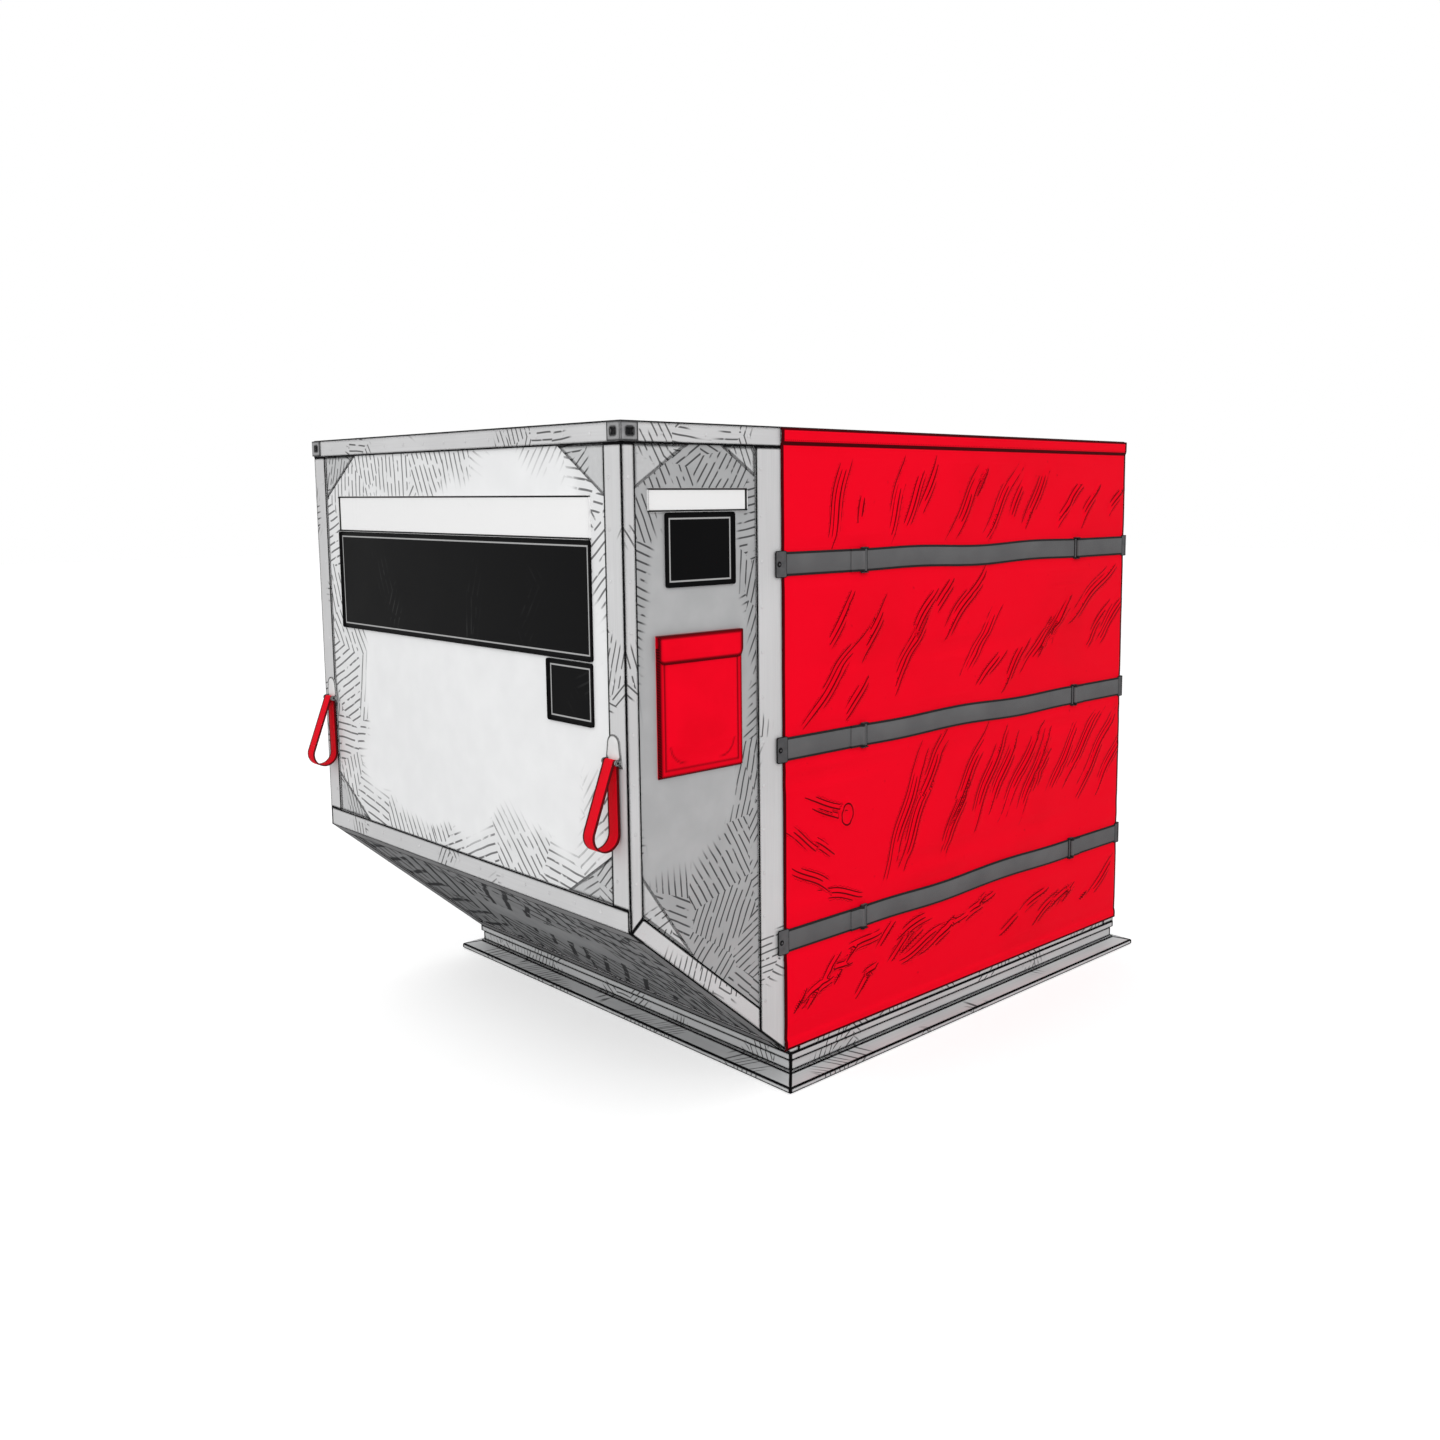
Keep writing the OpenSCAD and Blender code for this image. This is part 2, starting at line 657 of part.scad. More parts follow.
// A buckle at the origin: a plate on the strap towards +X, two cheeks and a bar along Z
module buckle() {
    half = strap_w / 2 + cheek_gap;
    x0 = sleeve_r + bar_r;
    x1 = x0 + buckle_l;
    y_strap = y_face - y_bar - strap_t;
    cylinder(r = bar_r, h = 2 * half, center = true);
    for (s = [-1, 1]) translate([0, 0, s * (half + cheek_t / 2)]) {
        difference() {
            union() {
                cylinder(r = sleeve_r - bar_clear, h = cheek_t, center = true);
                translate([0, bar_r - sleeve_r, -cheek_t / 2])
                    cube([x1, y_face - y_bar - bar_r + sleeve_r, cheek_t]);
            }
            translate([-sleeve_r, y_face - y_bar, -cheek_t]) cube([x1 + sleeve_r, sleeve_r, 2 * cheek_t]);
        }
    }
    translate([x0, y_strap - buckle_t, -half]) cube([buckle_l, buckle_t, 2 * half]);
}

// Both buckles of strap i
module buckles(i) {
    color("gray") {
        translate([x_bars[0], y_bar, strap_z(i)]) union() {
            buckle();
        }
        translate([x_bars[1], y_bar, strap_z(i)]) mirror([1, 0, 0]) union() {
            buckle();
        }
    }
}

// Loose end of strap i, sewn round the buckle's bar; side -1 is the left one
module tail(i, side) {
    x_bar = x_bars[side < 0 ? 0 : 1];
    x_end = side < 0 ? x_curtain + hook_in : x_right - hook_in;
    color("dimgray") translate([0, 0, strap_z(i)]) difference() {
        union() {
            translate([x_bar, y_bar, 0]) cylinder(r = sleeve_r, h = strap_w, center = true);
            translate([min(x_bar, x_end), y_tail, -strap_w / 2]) cube([abs(x_end - x_bar), strap_t, strap_w]);
        }
        translate([x_bar, y_bar, 0]) cylinder(r = bar_r + bar_clear, h = strap_w + 2 * cut, center = true);
    }
}

// A rectangle with round corners, from the origin
module rounded(w, h, r) {
    translate([r, 0]) square([w - 2 * r, h]);
    translate([0, r]) square([w, h - 2 * r]);
    for (x = [r, w - r], y = [r, h - r]) translate([x, y]) circle(r);
}

// End plate of a left strap end, with a hole that drops over its stud
module hook_left(i) {
    y0 = y_face - tail_gap - hook_t;
    color("dimgray") translate([0, y0, strap_z(i)]) difference() {
        translate([x_curtain - hook_out, hook_t, -hook_h / 2]) rotate([90, 0, 0])
            linear_extrude(hook_t) rounded(hook_out + hook_in, hook_h, hook_r);
        translate([x_curtain - stud_x, -cut, 0]) rotate([-90, 0, 0])
            cylinder(r = stud_r + stud_gap, h = hook_t + 2 * cut);
    }
}

// End plate of a right strap end, bent round the corner post with a rolled outer edge
module hook_right(i) {
    y0 = y_face - tail_gap - hook_t;
    x0 = x_right + hook_gap;
    color("dimgray") translate([0, 0, strap_z(i) - hook_h / 2]) {
        translate([x_right - hook_in, y0, 0]) cube([hook_in + hook_gap + hook_t, hook_t, hook_h]);
        translate([x0, y0, 0]) cube([hook_t, y_front + hook_depth - y0, hook_h]);
        translate([x0 + hook_roll, y0 + hook_roll, 0]) cylinder(r = hook_roll, h = hook_h);
    }
}

// Studs on the door post that the left hooks drop over
module hook_studs() {
    length = y_front - (y_face - tail_gap - hook_t) + stud_out;
    color("silver") for (i = [0 : len(strap_drops) - 1])
        translate([x_curtain - stud_x, y_front, strap_z(i)]) rotate([90, 0, 0])
            cylinder(r = stud_r, h = length);
}

// Pocket of the document pouch: back, edging, top strip and a front with an open mouth above it
module pouch_pocket() {
    y_in = y_pouch - pouch_t - pocket_d;
    color("red") translate([x_pouch - pouch_w / 2, 0, z_pouch - pouch_h]) {
        translate([0, y_pouch - pouch_t, 0]) cube([pouch_w, pouch_t, pouch_h]);
        for (x = [0, pouch_w - edging_w]) translate([x, y_in, 0])
            cube([edging_w, pocket_d, pouch_h - pouch_t]);
        translate([edging_w, y_in, 0]) cube([pouch_w - 2 * edging_w, pocket_d, edging_w]);
        translate([0, y_in, pouch_h - pouch_t]) cube([pouch_w, pocket_d, pouch_t]);
        translate([0, y_in - pouch_t, 0]) cube([pouch_w, pouch_t, pouch_h - mouth_h]);
    }
}

// Flap over the pouch's mouth, with round lower corners and a bead along its hinge line
module pouch_flap() {
    drop = flap_h - pouch_t / 2;
    color("red") translate([x_pouch, y_flap, z_pouch - pouch_t / 2]) {
        translate([-pouch_w / 2, 0, 0]) rotate([0, 90, 0]) cylinder(r = pouch_t / 2, h = pouch_w);
        translate([0, pouch_t / 2, 0]) rotate([90, 0, 0]) linear_extrude(pouch_t) {
            translate([-pouch_w / 2, flap_r - drop]) square([pouch_w, drop - flap_r]);
            translate([flap_r - pouch_w / 2, -drop]) square([pouch_w - 2 * flap_r, drop]);
            for (s = [-1, 1]) translate([s * (pouch_w / 2 - flap_r), flap_r - drop]) circle(flap_r);
        }
    }
}

// A pull tab at y = 0: a plate with a round top and two ears with a hole for the loop's pin
module pull_tab() {
    difference() {
        union() {
            translate([x_left - tab_t, 0, z_pin]) rotate([90, 0, 90]) linear_extrude(tab_t) {
                polygon([[-tab_w / 2, -tab_down], [tab_w / 2, -tab_down], [tab_top_r, tab_up],
                    [-tab_top_r, tab_up]]);
                translate([0, tab_up]) circle(tab_top_r);
            }
            for (s = [-1, 1]) translate([x_pin, s * (ear_y + ear_t / 2), z_pin]) {
                rotate([90, 0, 0]) cylinder(r = pin_r + ear_t, h = ear_t, center = true);
                translate([0, -ear_t / 2, -pin_r - ear_t]) cube([pin_out, ear_t, 2 * (pin_r + ear_t)]);
            }
        }
        translate([x_pin, 0, z_pin]) rotate([90, 0, 0])
            cylinder(r = pin_r + ear_clear, h = tab_w, center = true);
    }
}

// Tabs on the two overhang posts
module pull_tabs() {
    color("white") for (y = [y_loop, -y_loop]) translate([0, y, 0]) pull_tab();
}

// Pins through the tabs' ears
module pull_pins() {
    color("silver") for (y = [y_loop, -y_loop]) translate([x_pin, y, z_pin]) rotate([90, 0, 0])
        cylinder(r = pin_r, h = 2 * (ear_y + ear_t), center = true);
}

// A pull loop of webbing, sewn round its pin and hanging down
module pull_loop(y) {
    bend = [loop_r - pin_out, -loop_drop];
    neck = loop_sewn * bend / norm(bend);
    color("red") translate([x_pin, y, z_pin]) mirror([1, 0, 0]) rotate([90, 0, 0])
        linear_extrude(loop_w, center = true) difference() {
            polygon(teardrop(bend, loop_sleeve, loop_r));
            translate(neck) polygon(teardrop(bend - neck, loop_t / 2, loop_r - loop_t));
            circle(pin_r + pin_clear);
        }
}

base_sheet();
base_rail(0, base_w, base_d / 2);  // base_rail_front
base_rail(180, base_w, base_d / 2);  // base_rail_back
base_rail(270, base_d, base_w / 2);  // base_rail_left
base_rail(90, base_d, base_w / 2);  // base_rail_right
front_left_post();
back_left_post();
door_post();
front_right_post();
back_right_post();
roof_rail(0, x_right - x_left, [x_mid, y_front]);  // roof_rail_front
roof_rail(180, x_right - x_left, [x_mid, y_back]);  // roof_rail_back
roof_rail(270, y_back - y_front, [x_left, 0]);  // roof_rail_left
roof_rail(90, y_back - y_front, [x_right, 0]);  // roof_rail_right
knee_rail();
slope_rails();
sill_rails();
side_panel();
slope_panel();
front_panel();
back_panel();
right_panel();
roof_panel();
gusset_plates();
corner_caps();
header_rail();
curtain_band();
curtain_header();
curtain_fold(1);  // curtain_1
curtain_fold(2);  // curtain_2
curtain_fold(3);  // curtain_3
curtain_fold(4);  // curtain_4
curtain_bar();
strap(0);  // strap_top
strap(1);  // strap_middle
strap(2);  // strap_bottom
buckles(0);  // buckles_top
buckles(1);  // buckles_middle
buckles(2);  // buckles_bottom
tail(0, -1);  // tail_top_left
tail(0, 1);  // tail_top_right
tail(1, -1);  // tail_middle_left
tail(1, 1);  // tail_middle_right
tail(2, -1);  // tail_bottom_left
tail(2, 1);  // tail_bottom_right
hook_left(0);  // hook_top_left
hook_right(0);  // hook_top_right
hook_left(1);  // hook_middle_left
hook_right(1);  // hook_middle_right
hook_left(2);  // hook_bottom_left
hook_right(2);  // hook_bottom_right
hook_studs();
pouch_pocket();
pouch_flap();
pull_tabs();
pull_pins();
pull_loop(y_loop);  // pull_loop_front
pull_loop(-y_loop);  // pull_loop_back
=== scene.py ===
import json
import math
import random

import bpy
import numpy as np
from mathutils import Matrix, Vector


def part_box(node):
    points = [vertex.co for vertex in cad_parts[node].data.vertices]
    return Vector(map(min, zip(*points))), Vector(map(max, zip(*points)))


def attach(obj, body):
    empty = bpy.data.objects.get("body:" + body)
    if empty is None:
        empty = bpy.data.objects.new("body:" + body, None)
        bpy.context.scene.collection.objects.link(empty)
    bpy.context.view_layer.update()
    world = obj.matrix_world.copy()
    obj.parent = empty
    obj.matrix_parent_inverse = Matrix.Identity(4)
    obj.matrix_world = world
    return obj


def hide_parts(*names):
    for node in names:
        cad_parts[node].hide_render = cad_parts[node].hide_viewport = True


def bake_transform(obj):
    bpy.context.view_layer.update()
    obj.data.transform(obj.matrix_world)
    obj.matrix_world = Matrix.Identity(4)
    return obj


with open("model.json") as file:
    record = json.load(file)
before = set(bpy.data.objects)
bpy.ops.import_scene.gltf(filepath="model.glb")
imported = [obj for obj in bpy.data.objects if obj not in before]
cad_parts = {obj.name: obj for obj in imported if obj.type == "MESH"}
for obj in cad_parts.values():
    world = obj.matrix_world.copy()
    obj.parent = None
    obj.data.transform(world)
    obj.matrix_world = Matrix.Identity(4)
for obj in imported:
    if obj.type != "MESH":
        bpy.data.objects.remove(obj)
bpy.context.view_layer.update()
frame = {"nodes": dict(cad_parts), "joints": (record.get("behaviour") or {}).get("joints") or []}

# Camera: a full-frame lens at the height of the roof, off the container's front left corner.
# It stands about four metres away, with a slight shift for the picture's framing.
CAMERA_AT = Vector((-2.9633, -3.0151, 1.4680))
CAMERA_TURN = math.radians(-44.678)
CAMERA_DIP = math.radians(7.075)
CAMERA_ROLL = math.radians(-0.272)
bpy.ops.object.select_all(action="DESELECT")
bpy.ops.object.camera_add(location=CAMERA_AT)
camera = bpy.context.object
camera.name = "camera"
camera.rotation_euler = (
    Matrix.Rotation(CAMERA_TURN, 3, "Z")
    @ Matrix.Rotation(math.pi / 2 - CAMERA_DIP, 3, "X")
    @ Matrix.Rotation(CAMERA_ROLL, 3, "Z")
).to_euler()
camera.data.sensor_width = 36.0
camera.data.lens = 33.388
camera.data.shift_x = -0.0556
camera.data.shift_y = -0.0417
camera.data.clip_end = 60.0
bpy.context.scene.camera = camera

# Base rim: four extruded aluminium rails, mitred and welded at the corners.
# A lip runs round the outside for the hold's floor locks, with a groove above it
# and a ledge inside that carries the posts and sills.


class Tone:
    """A shader socket that takes part in sums: each operation on it adds a Math node."""

    def __init__(self, tree, socket):
        self.tree = tree
        self.socket = socket

    def node(self, kind, settings, sockets, output=0):
        """A new node: its settings come first, then the values or links of its sockets."""
        made = self.tree.nodes.new(kind)
        for name, value in settings.items():
            setattr(made, name, value)
        for name, value in sockets.items():
            if isinstance(value, Tone):
                self.tree.links.new(value.socket, made.inputs[name])
            else:
                made.inputs[name].default_value = value
        return Tone(self.tree, made.outputs[output])

    def math(self, operation, first, second=0.0):
        return self.node("ShaderNodeMath", {"operation": operation}, {0: first, 1: second})

    def __add__(self, other):
        return self.math("ADD", self, other)

    def __radd__(self, other):
        return self.math("ADD", other, self)

    def __sub__(self, other):
        return self.math("SUBTRACT", self, other)

    def __rsub__(self, other):
        return self.math("SUBTRACT", other, self)

    def __mul__(self, other):
        return self.math("MULTIPLY", self, other)

    def __rmul__(self, other):
        return self.math("MULTIPLY", other, self)

    def __truediv__(self, other):
        return self.math("DIVIDE", self, other)

    def __abs__(self):
        return self.math("ABSOLUTE", self)

    def ramp(self, start, end):
        """A soft step from 0 at start to 1 at end."""
        return self.node("ShaderNodeMapRange", {"interpolation_type": "SMOOTHSTEP"},
                         {"Value": self, "From Min": start, "From Max": end})

    def mix(self, none, full):
        """A colour that goes from none to full as the value goes from 0 to 1."""
        return self.node("ShaderNodeMix", {"data_type": "RGBA"}, {0: self, 6: none, 7: full}, 2)

    def feed(self, shader, name):
        self.tree.links.new(self.socket, shader.inputs[name])


def finish(name, roughness, metallic=0.0):
    """A new material: itself, its shader and the place on the piece that it is seen at."""
    material = bpy.data.materials.new(name)
    material.use_nodes = True
    tree = material.node_tree
    shader = tree.nodes["Principled BSDF"]
    shader.inputs["Roughness"].default_value = roughness
    shader.inputs["Metallic"].default_value = metallic
    place = tree.nodes.new("ShaderNodeTexCoord")
    return material, shader, Tone(tree, place.outputs["Object"])


def dress(material, *nodes):
    """Gives CAD nodes a material."""
    for node in nodes:
        frame["nodes"][node].material_slots[0].material = material


def noise(place, scale, detail=3.0):
    """Cloudy variation about one half."""
    return place.node("ShaderNodeTexNoise", {}, {"Vector": place, "Scale": scale, "Detail": detail})


def stretched(place, along):
    """The same place with one or two directions drawn out, for brushed grain."""
    return place.node("ShaderNodeVectorMath", {"operation": "MULTIPLY"}, {0: place, 1: along})


def edge_lines_and_corner_shade(place, reach):
    """1 along the sharp edges of a piece, outer and hollow, for dark lines that are painted shade in the
    hollow corners, and 0 on its flats.
    """
    flat = place.node("ShaderNodeNewGeometry", {}, {}, "Normal")
    eased = place.node("ShaderNodeBevel", {"samples": 16}, {"Radius": reach})
    facing = place.node("ShaderNodeVectorMath", {"operation": "DOT_PRODUCT"}, {0: flat, 1: eased},
                        "Value")
    return facing.ramp(0.993, 0.965)


def sides(place):
    """The three coordinates of a place."""
    return [place.node("ShaderNodeSeparateXYZ", {}, {"Vector": place}, side) for side in "XYZ"]


def rubbed(place, across, up, patch, spacing):
    """Patches of short parallel rub marks, every patch at an angle of its own."""
    spot = place.node("ShaderNodeCombineXYZ", {}, {"X": across, "Y": up})
    colour = place.node("ShaderNodeTexVoronoi", {"voronoi_dimensions": "2D"},
                        {"Vector": spot, "Scale": 1.0 / patch}, "Color")
    turn = place.node("ShaderNodeSeparateColor", {}, {"Color": colour}, "Red") * (2.0 * math.pi)
    waver = noise(spot, 9.0, 1.0)
    along = across * place.math("COSINE", turn) + up * place.math("SINE", turn) + 0.012 * waver
    line = abs(place.math("FRACT", along / spacing) - 0.5).ramp(0.15, 0.09)
    broken = noise(spot, 30.0, 1.0).ramp(0.36, 0.44)
    return line * broken


def bump(place, height, depth):
    """The normal of a surface with this relief, depth in metres."""
    return place.node("ShaderNodeBump", {}, {"Height": height, "Distance": depth, "Strength": 1.0})


def satin_metal(name, dark, light, grain, roughness, bare=0.8, edge=0.012, bevelled=False):
    """Satin metal: drawn grain, dark lines on edges and bevels, painted shade in hollow corners and on the
    underside, rub marks on all but a bare share.
    """
    material, shader, place = finish(name, roughness, 0.1)
    across, deep, up = sides(place)
    cloud = noise(place, 3.0)
    drawn = noise(stretched(place, grain), 1.0, 2.0)
    tone = (0.65 * cloud + 0.35 * drawn).ramp(0.3, 0.7)
    marks = rubbed(place, across + deep, up, 0.1, 0.017) * noise(place, 4.2, 1.0).ramp(bare, bare + 0.05)
    # Dark lines along the edges, painted shade where the edges are hollow corners, with the rub marks.
    lines = place.math("MAXIMUM", edge_lines_and_corner_shade(place, edge), 0.8 * marks)
    facing = sides(place.node("ShaderNodeNewGeometry", {}, {}, "Normal"))
    if bevelled:
        upright = place.math("MAXIMUM", abs(facing[0]), abs(facing[1]))
        square = place.math("MAXIMUM", upright, abs(facing[2]))
        lines = place.math("MAXIMUM", lines, square.ramp(0.74, 0.72))
    # Faces that look down are painted darker: painted shade on the undersides.
    below = facing[2].ramp(-0.3, -0.6)
    shaded_below = (0.75 * below).mix(tone.mix(dark, light), UNDERSIDE_SHADE)
    lines.mix(shaded_below, INK).feed(shader, "Base Color")
    (roughness - 0.06 + 0.16 * drawn).feed(shader, "Roughness")
    bump(place, drawn, 0.0001).feed(shader, "Normal")
    shader.inputs["Specular IOR Level"].default_value = 0.0
    return material


INK = (0.005, 0.005, 0.0055, 1.0)
# Dark grey of the painted shade on faces that look down.
UNDERSIDE_SHADE = (0.1, 0.1, 0.103, 1.0)
RIM_DARK = (0.54, 0.545, 0.55, 1.0)
RIM_LIGHT = (0.63, 0.635, 0.64, 1.0)
DRAWN_X = (6.0, 400.0, 400.0)
DRAWN_Y = (400.0, 6.0, 400.0)
rim_along_x = satin_metal("rim_metal_along_x", RIM_DARK, RIM_LIGHT, DRAWN_X, 0.42,
                          bare=0.56, edge=0.01, bevelled=True)
rim_along_y = satin_metal("rim_metal_along_y", RIM_DARK, RIM_LIGHT, DRAWN_Y, 0.42,
                          bare=0.48, edge=0.01, bevelled=True)
dress(rim_along_x, "base_rail_front", "base_rail_back")
dress(rim_along_y, "base_rail_left", "base_rail_right")

# Floor: one rolled aluminium sheet, let into the rim's tongues and riveted there.
# Its upper face is scuffed by cargo that is slid over it.
floor_metal = satin_metal("floor_metal", (0.42, 0.43, 0.44, 1.0), (0.52, 0.53, 0.54, 1.0),
                          (8.0, 160.0, 160.0), 0.38, bare=0.5)
dress(floor_metal, "base_sheet")

# Frame: extruded aluminium angles, riveted to each other at the corners.
# They stand proud of the sheets by the thickness of their legs.
FRAME_DARK = (0.58, 0.58, 0.585, 1.0)
FRAME_LIGHT = (0.66, 0.66, 0.665, 1.0)
DRAWN_UP = (400.0, 400.0, 6.0)
frame_upright = satin_metal("frame_metal_upright", FRAME_DARK, FRAME_LIGHT, DRAWN_UP, 0.4,
                            bare=0.56, bevelled=True)
frame_along_x = satin_metal("frame_metal_along_x", FRAME_DARK, FRAME_LIGHT, DRAWN_X, 0.4,
                            bare=0.46, bevelled=True)
frame_along_y = satin_metal("frame_metal_along_y", FRAME_DARK, FRAME_LIGHT, DRAWN_Y, 0.4,
                            bare=0.57, bevelled=True)
dress(frame_upright, "front_left_post", "back_left_post", "door_post", "front_right_post",
      "back_right_post")
dress(frame_along_x, "roof_rail_front", "roof_rail_back", "sill_rails")
dress(frame_along_y, "roof_rail_left", "roof_rail_right", "knee_rail", "slope_rails")

# Sheets: rolled aluminium behind the frame's legs, riveted through them.
# The side over the overhang is painted white, the others are bare, with rubbed patches
# in their corners. The slope's darker grey is painted shade, as it faces down, and its rub marks cross.


def sheet_paint(name, axis, centre, half, dark, light, rub, metallic, patch=0.15, spacing=0.0175,
                crossed=False):
    """Rolled sheet that faces along axis, with patches of rub marks, crossed or not, towards its edges."""
    material, shader, place = finish(name, 0.42, metallic)
    across, up = [part for side, part in zip("XYZ", sides(place)) if side != axis]
    cloud = noise(place, 2.4)
    edge = place.math("MAXIMUM", abs(across - centre[0]) / half[0], abs(up - centre[1]) / half[1])
    reach = (edge + 1.3 * cloud).ramp(1.38, 1.52)
    marks = rubbed(place, across, up, patch, spacing)
    if crossed:
        marks = place.math("MAXIMUM", marks, rubbed(place, up, across, patch, spacing))
    marks = marks * reach
    tone = (0.5 * cloud + 0.5 * noise(place, 14.0)).ramp(0.3, 0.7)
    worn = (0.1 * reach).mix(tone.mix(dark, light), rub)
    (0.88 * marks).mix(worn, rub).feed(shader, "Base Color")
    (0.37 + 0.15 * cloud + 0.1 * marks).feed(shader, "Roughness")
    bump(place, cloud - 0.05 * marks, 0.0015).feed(shader, "Normal")
    shader.inputs["Specular IOR Level"].default_value = 0.0 if crossed else 0.08
    return material


WHITE_DARK = (0.82, 0.825, 0.83, 1.0)
WHITE_LIGHT = (0.87, 0.875, 0.88, 1.0)
GREY_DARK = (0.41, 0.415, 0.42, 1.0)
GREY_LIGHT = (0.48, 0.485, 0.49, 1.0)
# Darker greys of the slope: painted shade for a sheet that faces down.
SLOPE_SHADE_DARK = (0.25, 0.253, 0.257, 1.0)
SLOPE_SHADE_LIGHT = (0.33, 0.333, 0.338, 1.0)
PALE_DARK = (0.5, 0.505, 0.51, 1.0)
PALE_LIGHT = (0.57, 0.575, 0.58, 1.0)
RUB = (0.03, 0.03, 0.032, 1.0)
SCUFF = (0.09, 0.09, 0.093, 1.0)
white_side = sheet_paint("white_side_paint", "X", centre=(0.0, 1.067), half=(0.70, 0.55),
                         dark=WHITE_DARK, light=WHITE_LIGHT, rub=SCUFF, metallic=0.0,
                         patch=0.18, spacing=0.021)
grey_front = sheet_paint("grey_front_sheet", "Y", centre=(-1.02, 1.06), half=(0.17, 0.5),
                         dark=GREY_DARK, light=GREY_LIGHT, rub=RUB, metallic=0.2)
grey_slope = sheet_paint("grey_slope_sheet", "X", centre=(0.0, 0.3), half=(0.4, 0.05),
                         dark=SLOPE_SHADE_DARK, light=SLOPE_SHADE_LIGHT, rub=RUB, metallic=0.0,
                         patch=0.24, spacing=0.05, crossed=True)
grey_back = sheet_paint("grey_back_sheet", "Y", centre=(-0.245, 0.85), half=(1.0, 0.8),
                        dark=GREY_DARK, light=GREY_LIGHT, rub=RUB, metallic=0.2)
grey_right = sheet_paint("grey_right_sheet", "X", centre=(0.0, 0.85), half=(0.72, 0.8),
                         dark=PALE_DARK, light=PALE_LIGHT, rub=RUB, metallic=0.2)
grey_roof = sheet_paint("grey_roof_sheet", "Z", centre=(-0.245, 0.0), half=(1.0, 0.72),
                        dark=PALE_DARK, light=PALE_LIGHT, rub=RUB, metallic=0.2)
dress(white_side, "side_panel")
dress(grey_front, "front_panel")
dress(grey_slope, "slope_panel")
dress(grey_back, "back_panel")
dress(grey_right, "right_panel")
dress(grey_roof, "roof_panel")

# Gusset plates: triangles of sheet that stiffen the corners, in the recess between the frame's legs.
# Round-headed rivets run along the frame's posts and rails.
gusset_metal = satin_metal("gusset_metal", (0.52, 0.525, 0.53, 1.0), (0.6, 0.605, 0.61, 1.0),
                           (90.0, 90.0, 90.0), 0.42, bare=0.43)
dress(gusset_metal, "gusset_plates")

RIVET_R = 0.0042
RIVET_H = 0.0018
RIVET_PITCH = 0.105
CORNER_CLEAR = 0.11
LEG_MIDDLE = 0.03


def rivet_rows():
    """Places of the rivets and the way that each one faces."""
    rows = []

    def run(start, end, facing):
        start, end = Vector(start), Vector(end)
        steps = max(1, round((end - start).length / RIVET_PITCH))
        for i in range(steps + 1):
            rows.append((start.lerp(end, i / steps), Vector(facing)))

    left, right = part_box("front_left_post")[0].x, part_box("front_right_post")[1].x
    front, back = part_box("door_post")[0].y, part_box("back_right_post")[1].y
    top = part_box("roof_rail_front")[1].z
    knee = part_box("knee_rail")[1].z
    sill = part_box("base_rail_front")[1].z
    roof_line, knee_line, sill_line = top - 0.026, knee - 0.024, sill + 0.022
    post_foot, base_foot, post_head = knee + 0.06, sill + 0.08, top - 0.12
    near_y, far_y = front + CORNER_CLEAR, back - CORNER_CLEAR
    near_x, far_x = left + CORNER_CLEAR, right - CORNER_CLEAR
    slope_foot, door_side, door_line = -0.6, -0.86, -0.822
    for y in (front + 0.046, back - 0.046):
        run((left, y, post_foot), (left, y, post_head), (-1, 0, 0))
        run((right, y, base_foot), (right, y, post_head), (1, 0, 0))
    for z in (roof_line, knee_line):
        run((left, near_y, z), (left, far_y, z), (-1, 0, 0))
    for z in (roof_line, sill_line):
        run((right, near_y, z), (right, far_y, z), (1, 0, 0))
    run((near_x, back, roof_line), (far_x, back, roof_line), (0, 1, 0))
    run((slope_foot, back, sill_line), (far_x, back, sill_line), (0, 1, 0))
    run((left + 0.02, back, post_foot), (left + 0.02, back, post_head), (0, 1, 0))
    run((right - LEG_MIDDLE, back, base_foot), (right - LEG_MIDDLE, back, post_head), (0, 1, 0))
    for y in (front + LEG_MIDDLE, back - LEG_MIDDLE):
        run((near_x, y, top), (far_x, y, top), (0, 0, 1))
    for x in (left + LEG_MIDDLE, right - LEG_MIDDLE):
        run((x, front + 0.13, top), (x, back - 0.13, top), (0, 0, 1))
    run((left + 0.018, front, post_foot), (left + 0.018, front, post_head), (0, -1, 0))
    run((near_x, front, roof_line), (door_side, front, roof_line), (0, -1, 0))
    run((door_line, front, 0.24), (door_line, front, top - 0.1), (0, -1, 0))
    return rows


bpy.ops.object.select_all(action="DESELECT")
bpy.ops.mesh.primitive_cylinder_add(vertices=10, radius=RIVET_R, depth=0.5 * RIVET_H,
                                    location=(0.0, 0.0, 0.25 * RIVET_H))
rivet = bpy.context.object
bpy.ops.object.transform_apply(location=True, rotation=False, scale=False)
bpy.ops.object.mode_set(mode="EDIT")
bpy.ops.mesh.select_all(action="DESELECT")
bpy.ops.object.mode_set(mode="OBJECT")
for face in rivet.data.polygons:
    face.select = face.normal.z > 0.9
bpy.ops.object.mode_set(mode="EDIT")
bpy.ops.mesh.inset(thickness=0.4 * RIVET_R, depth=0.35 * RIVET_H)
bpy.ops.mesh.inset(thickness=0.3 * RIVET_R, depth=0.15 * RIVET_H)
bpy.ops.object.mode_set(mode="OBJECT")
heads = []
for spot, facing in rivet_rows():
    head = rivet.copy()
    head.data = rivet.data.copy()
    head.data.transform(Matrix.Translation(spot) @ facing.to_track_quat("Z", "Y").to_matrix().to_4x4())
    bpy.context.collection.objects.link(head)
    heads.append(head)
bpy.data.objects.remove(rivet)
bpy.ops.object.select_all(action="DESELECT")
for head in heads:
    head.select_set(True)
bpy.context.view_layer.objects.active = heads[0]
bpy.ops.object.join()
rivets = bpy.context.object
rivets.name = "frame_rivets"
bpy.ops.object.shade_smooth_by_angle(angle=math.radians(40))
rivet_metal, shader, place = finish("rivet_metal", 0.4, 0.2)
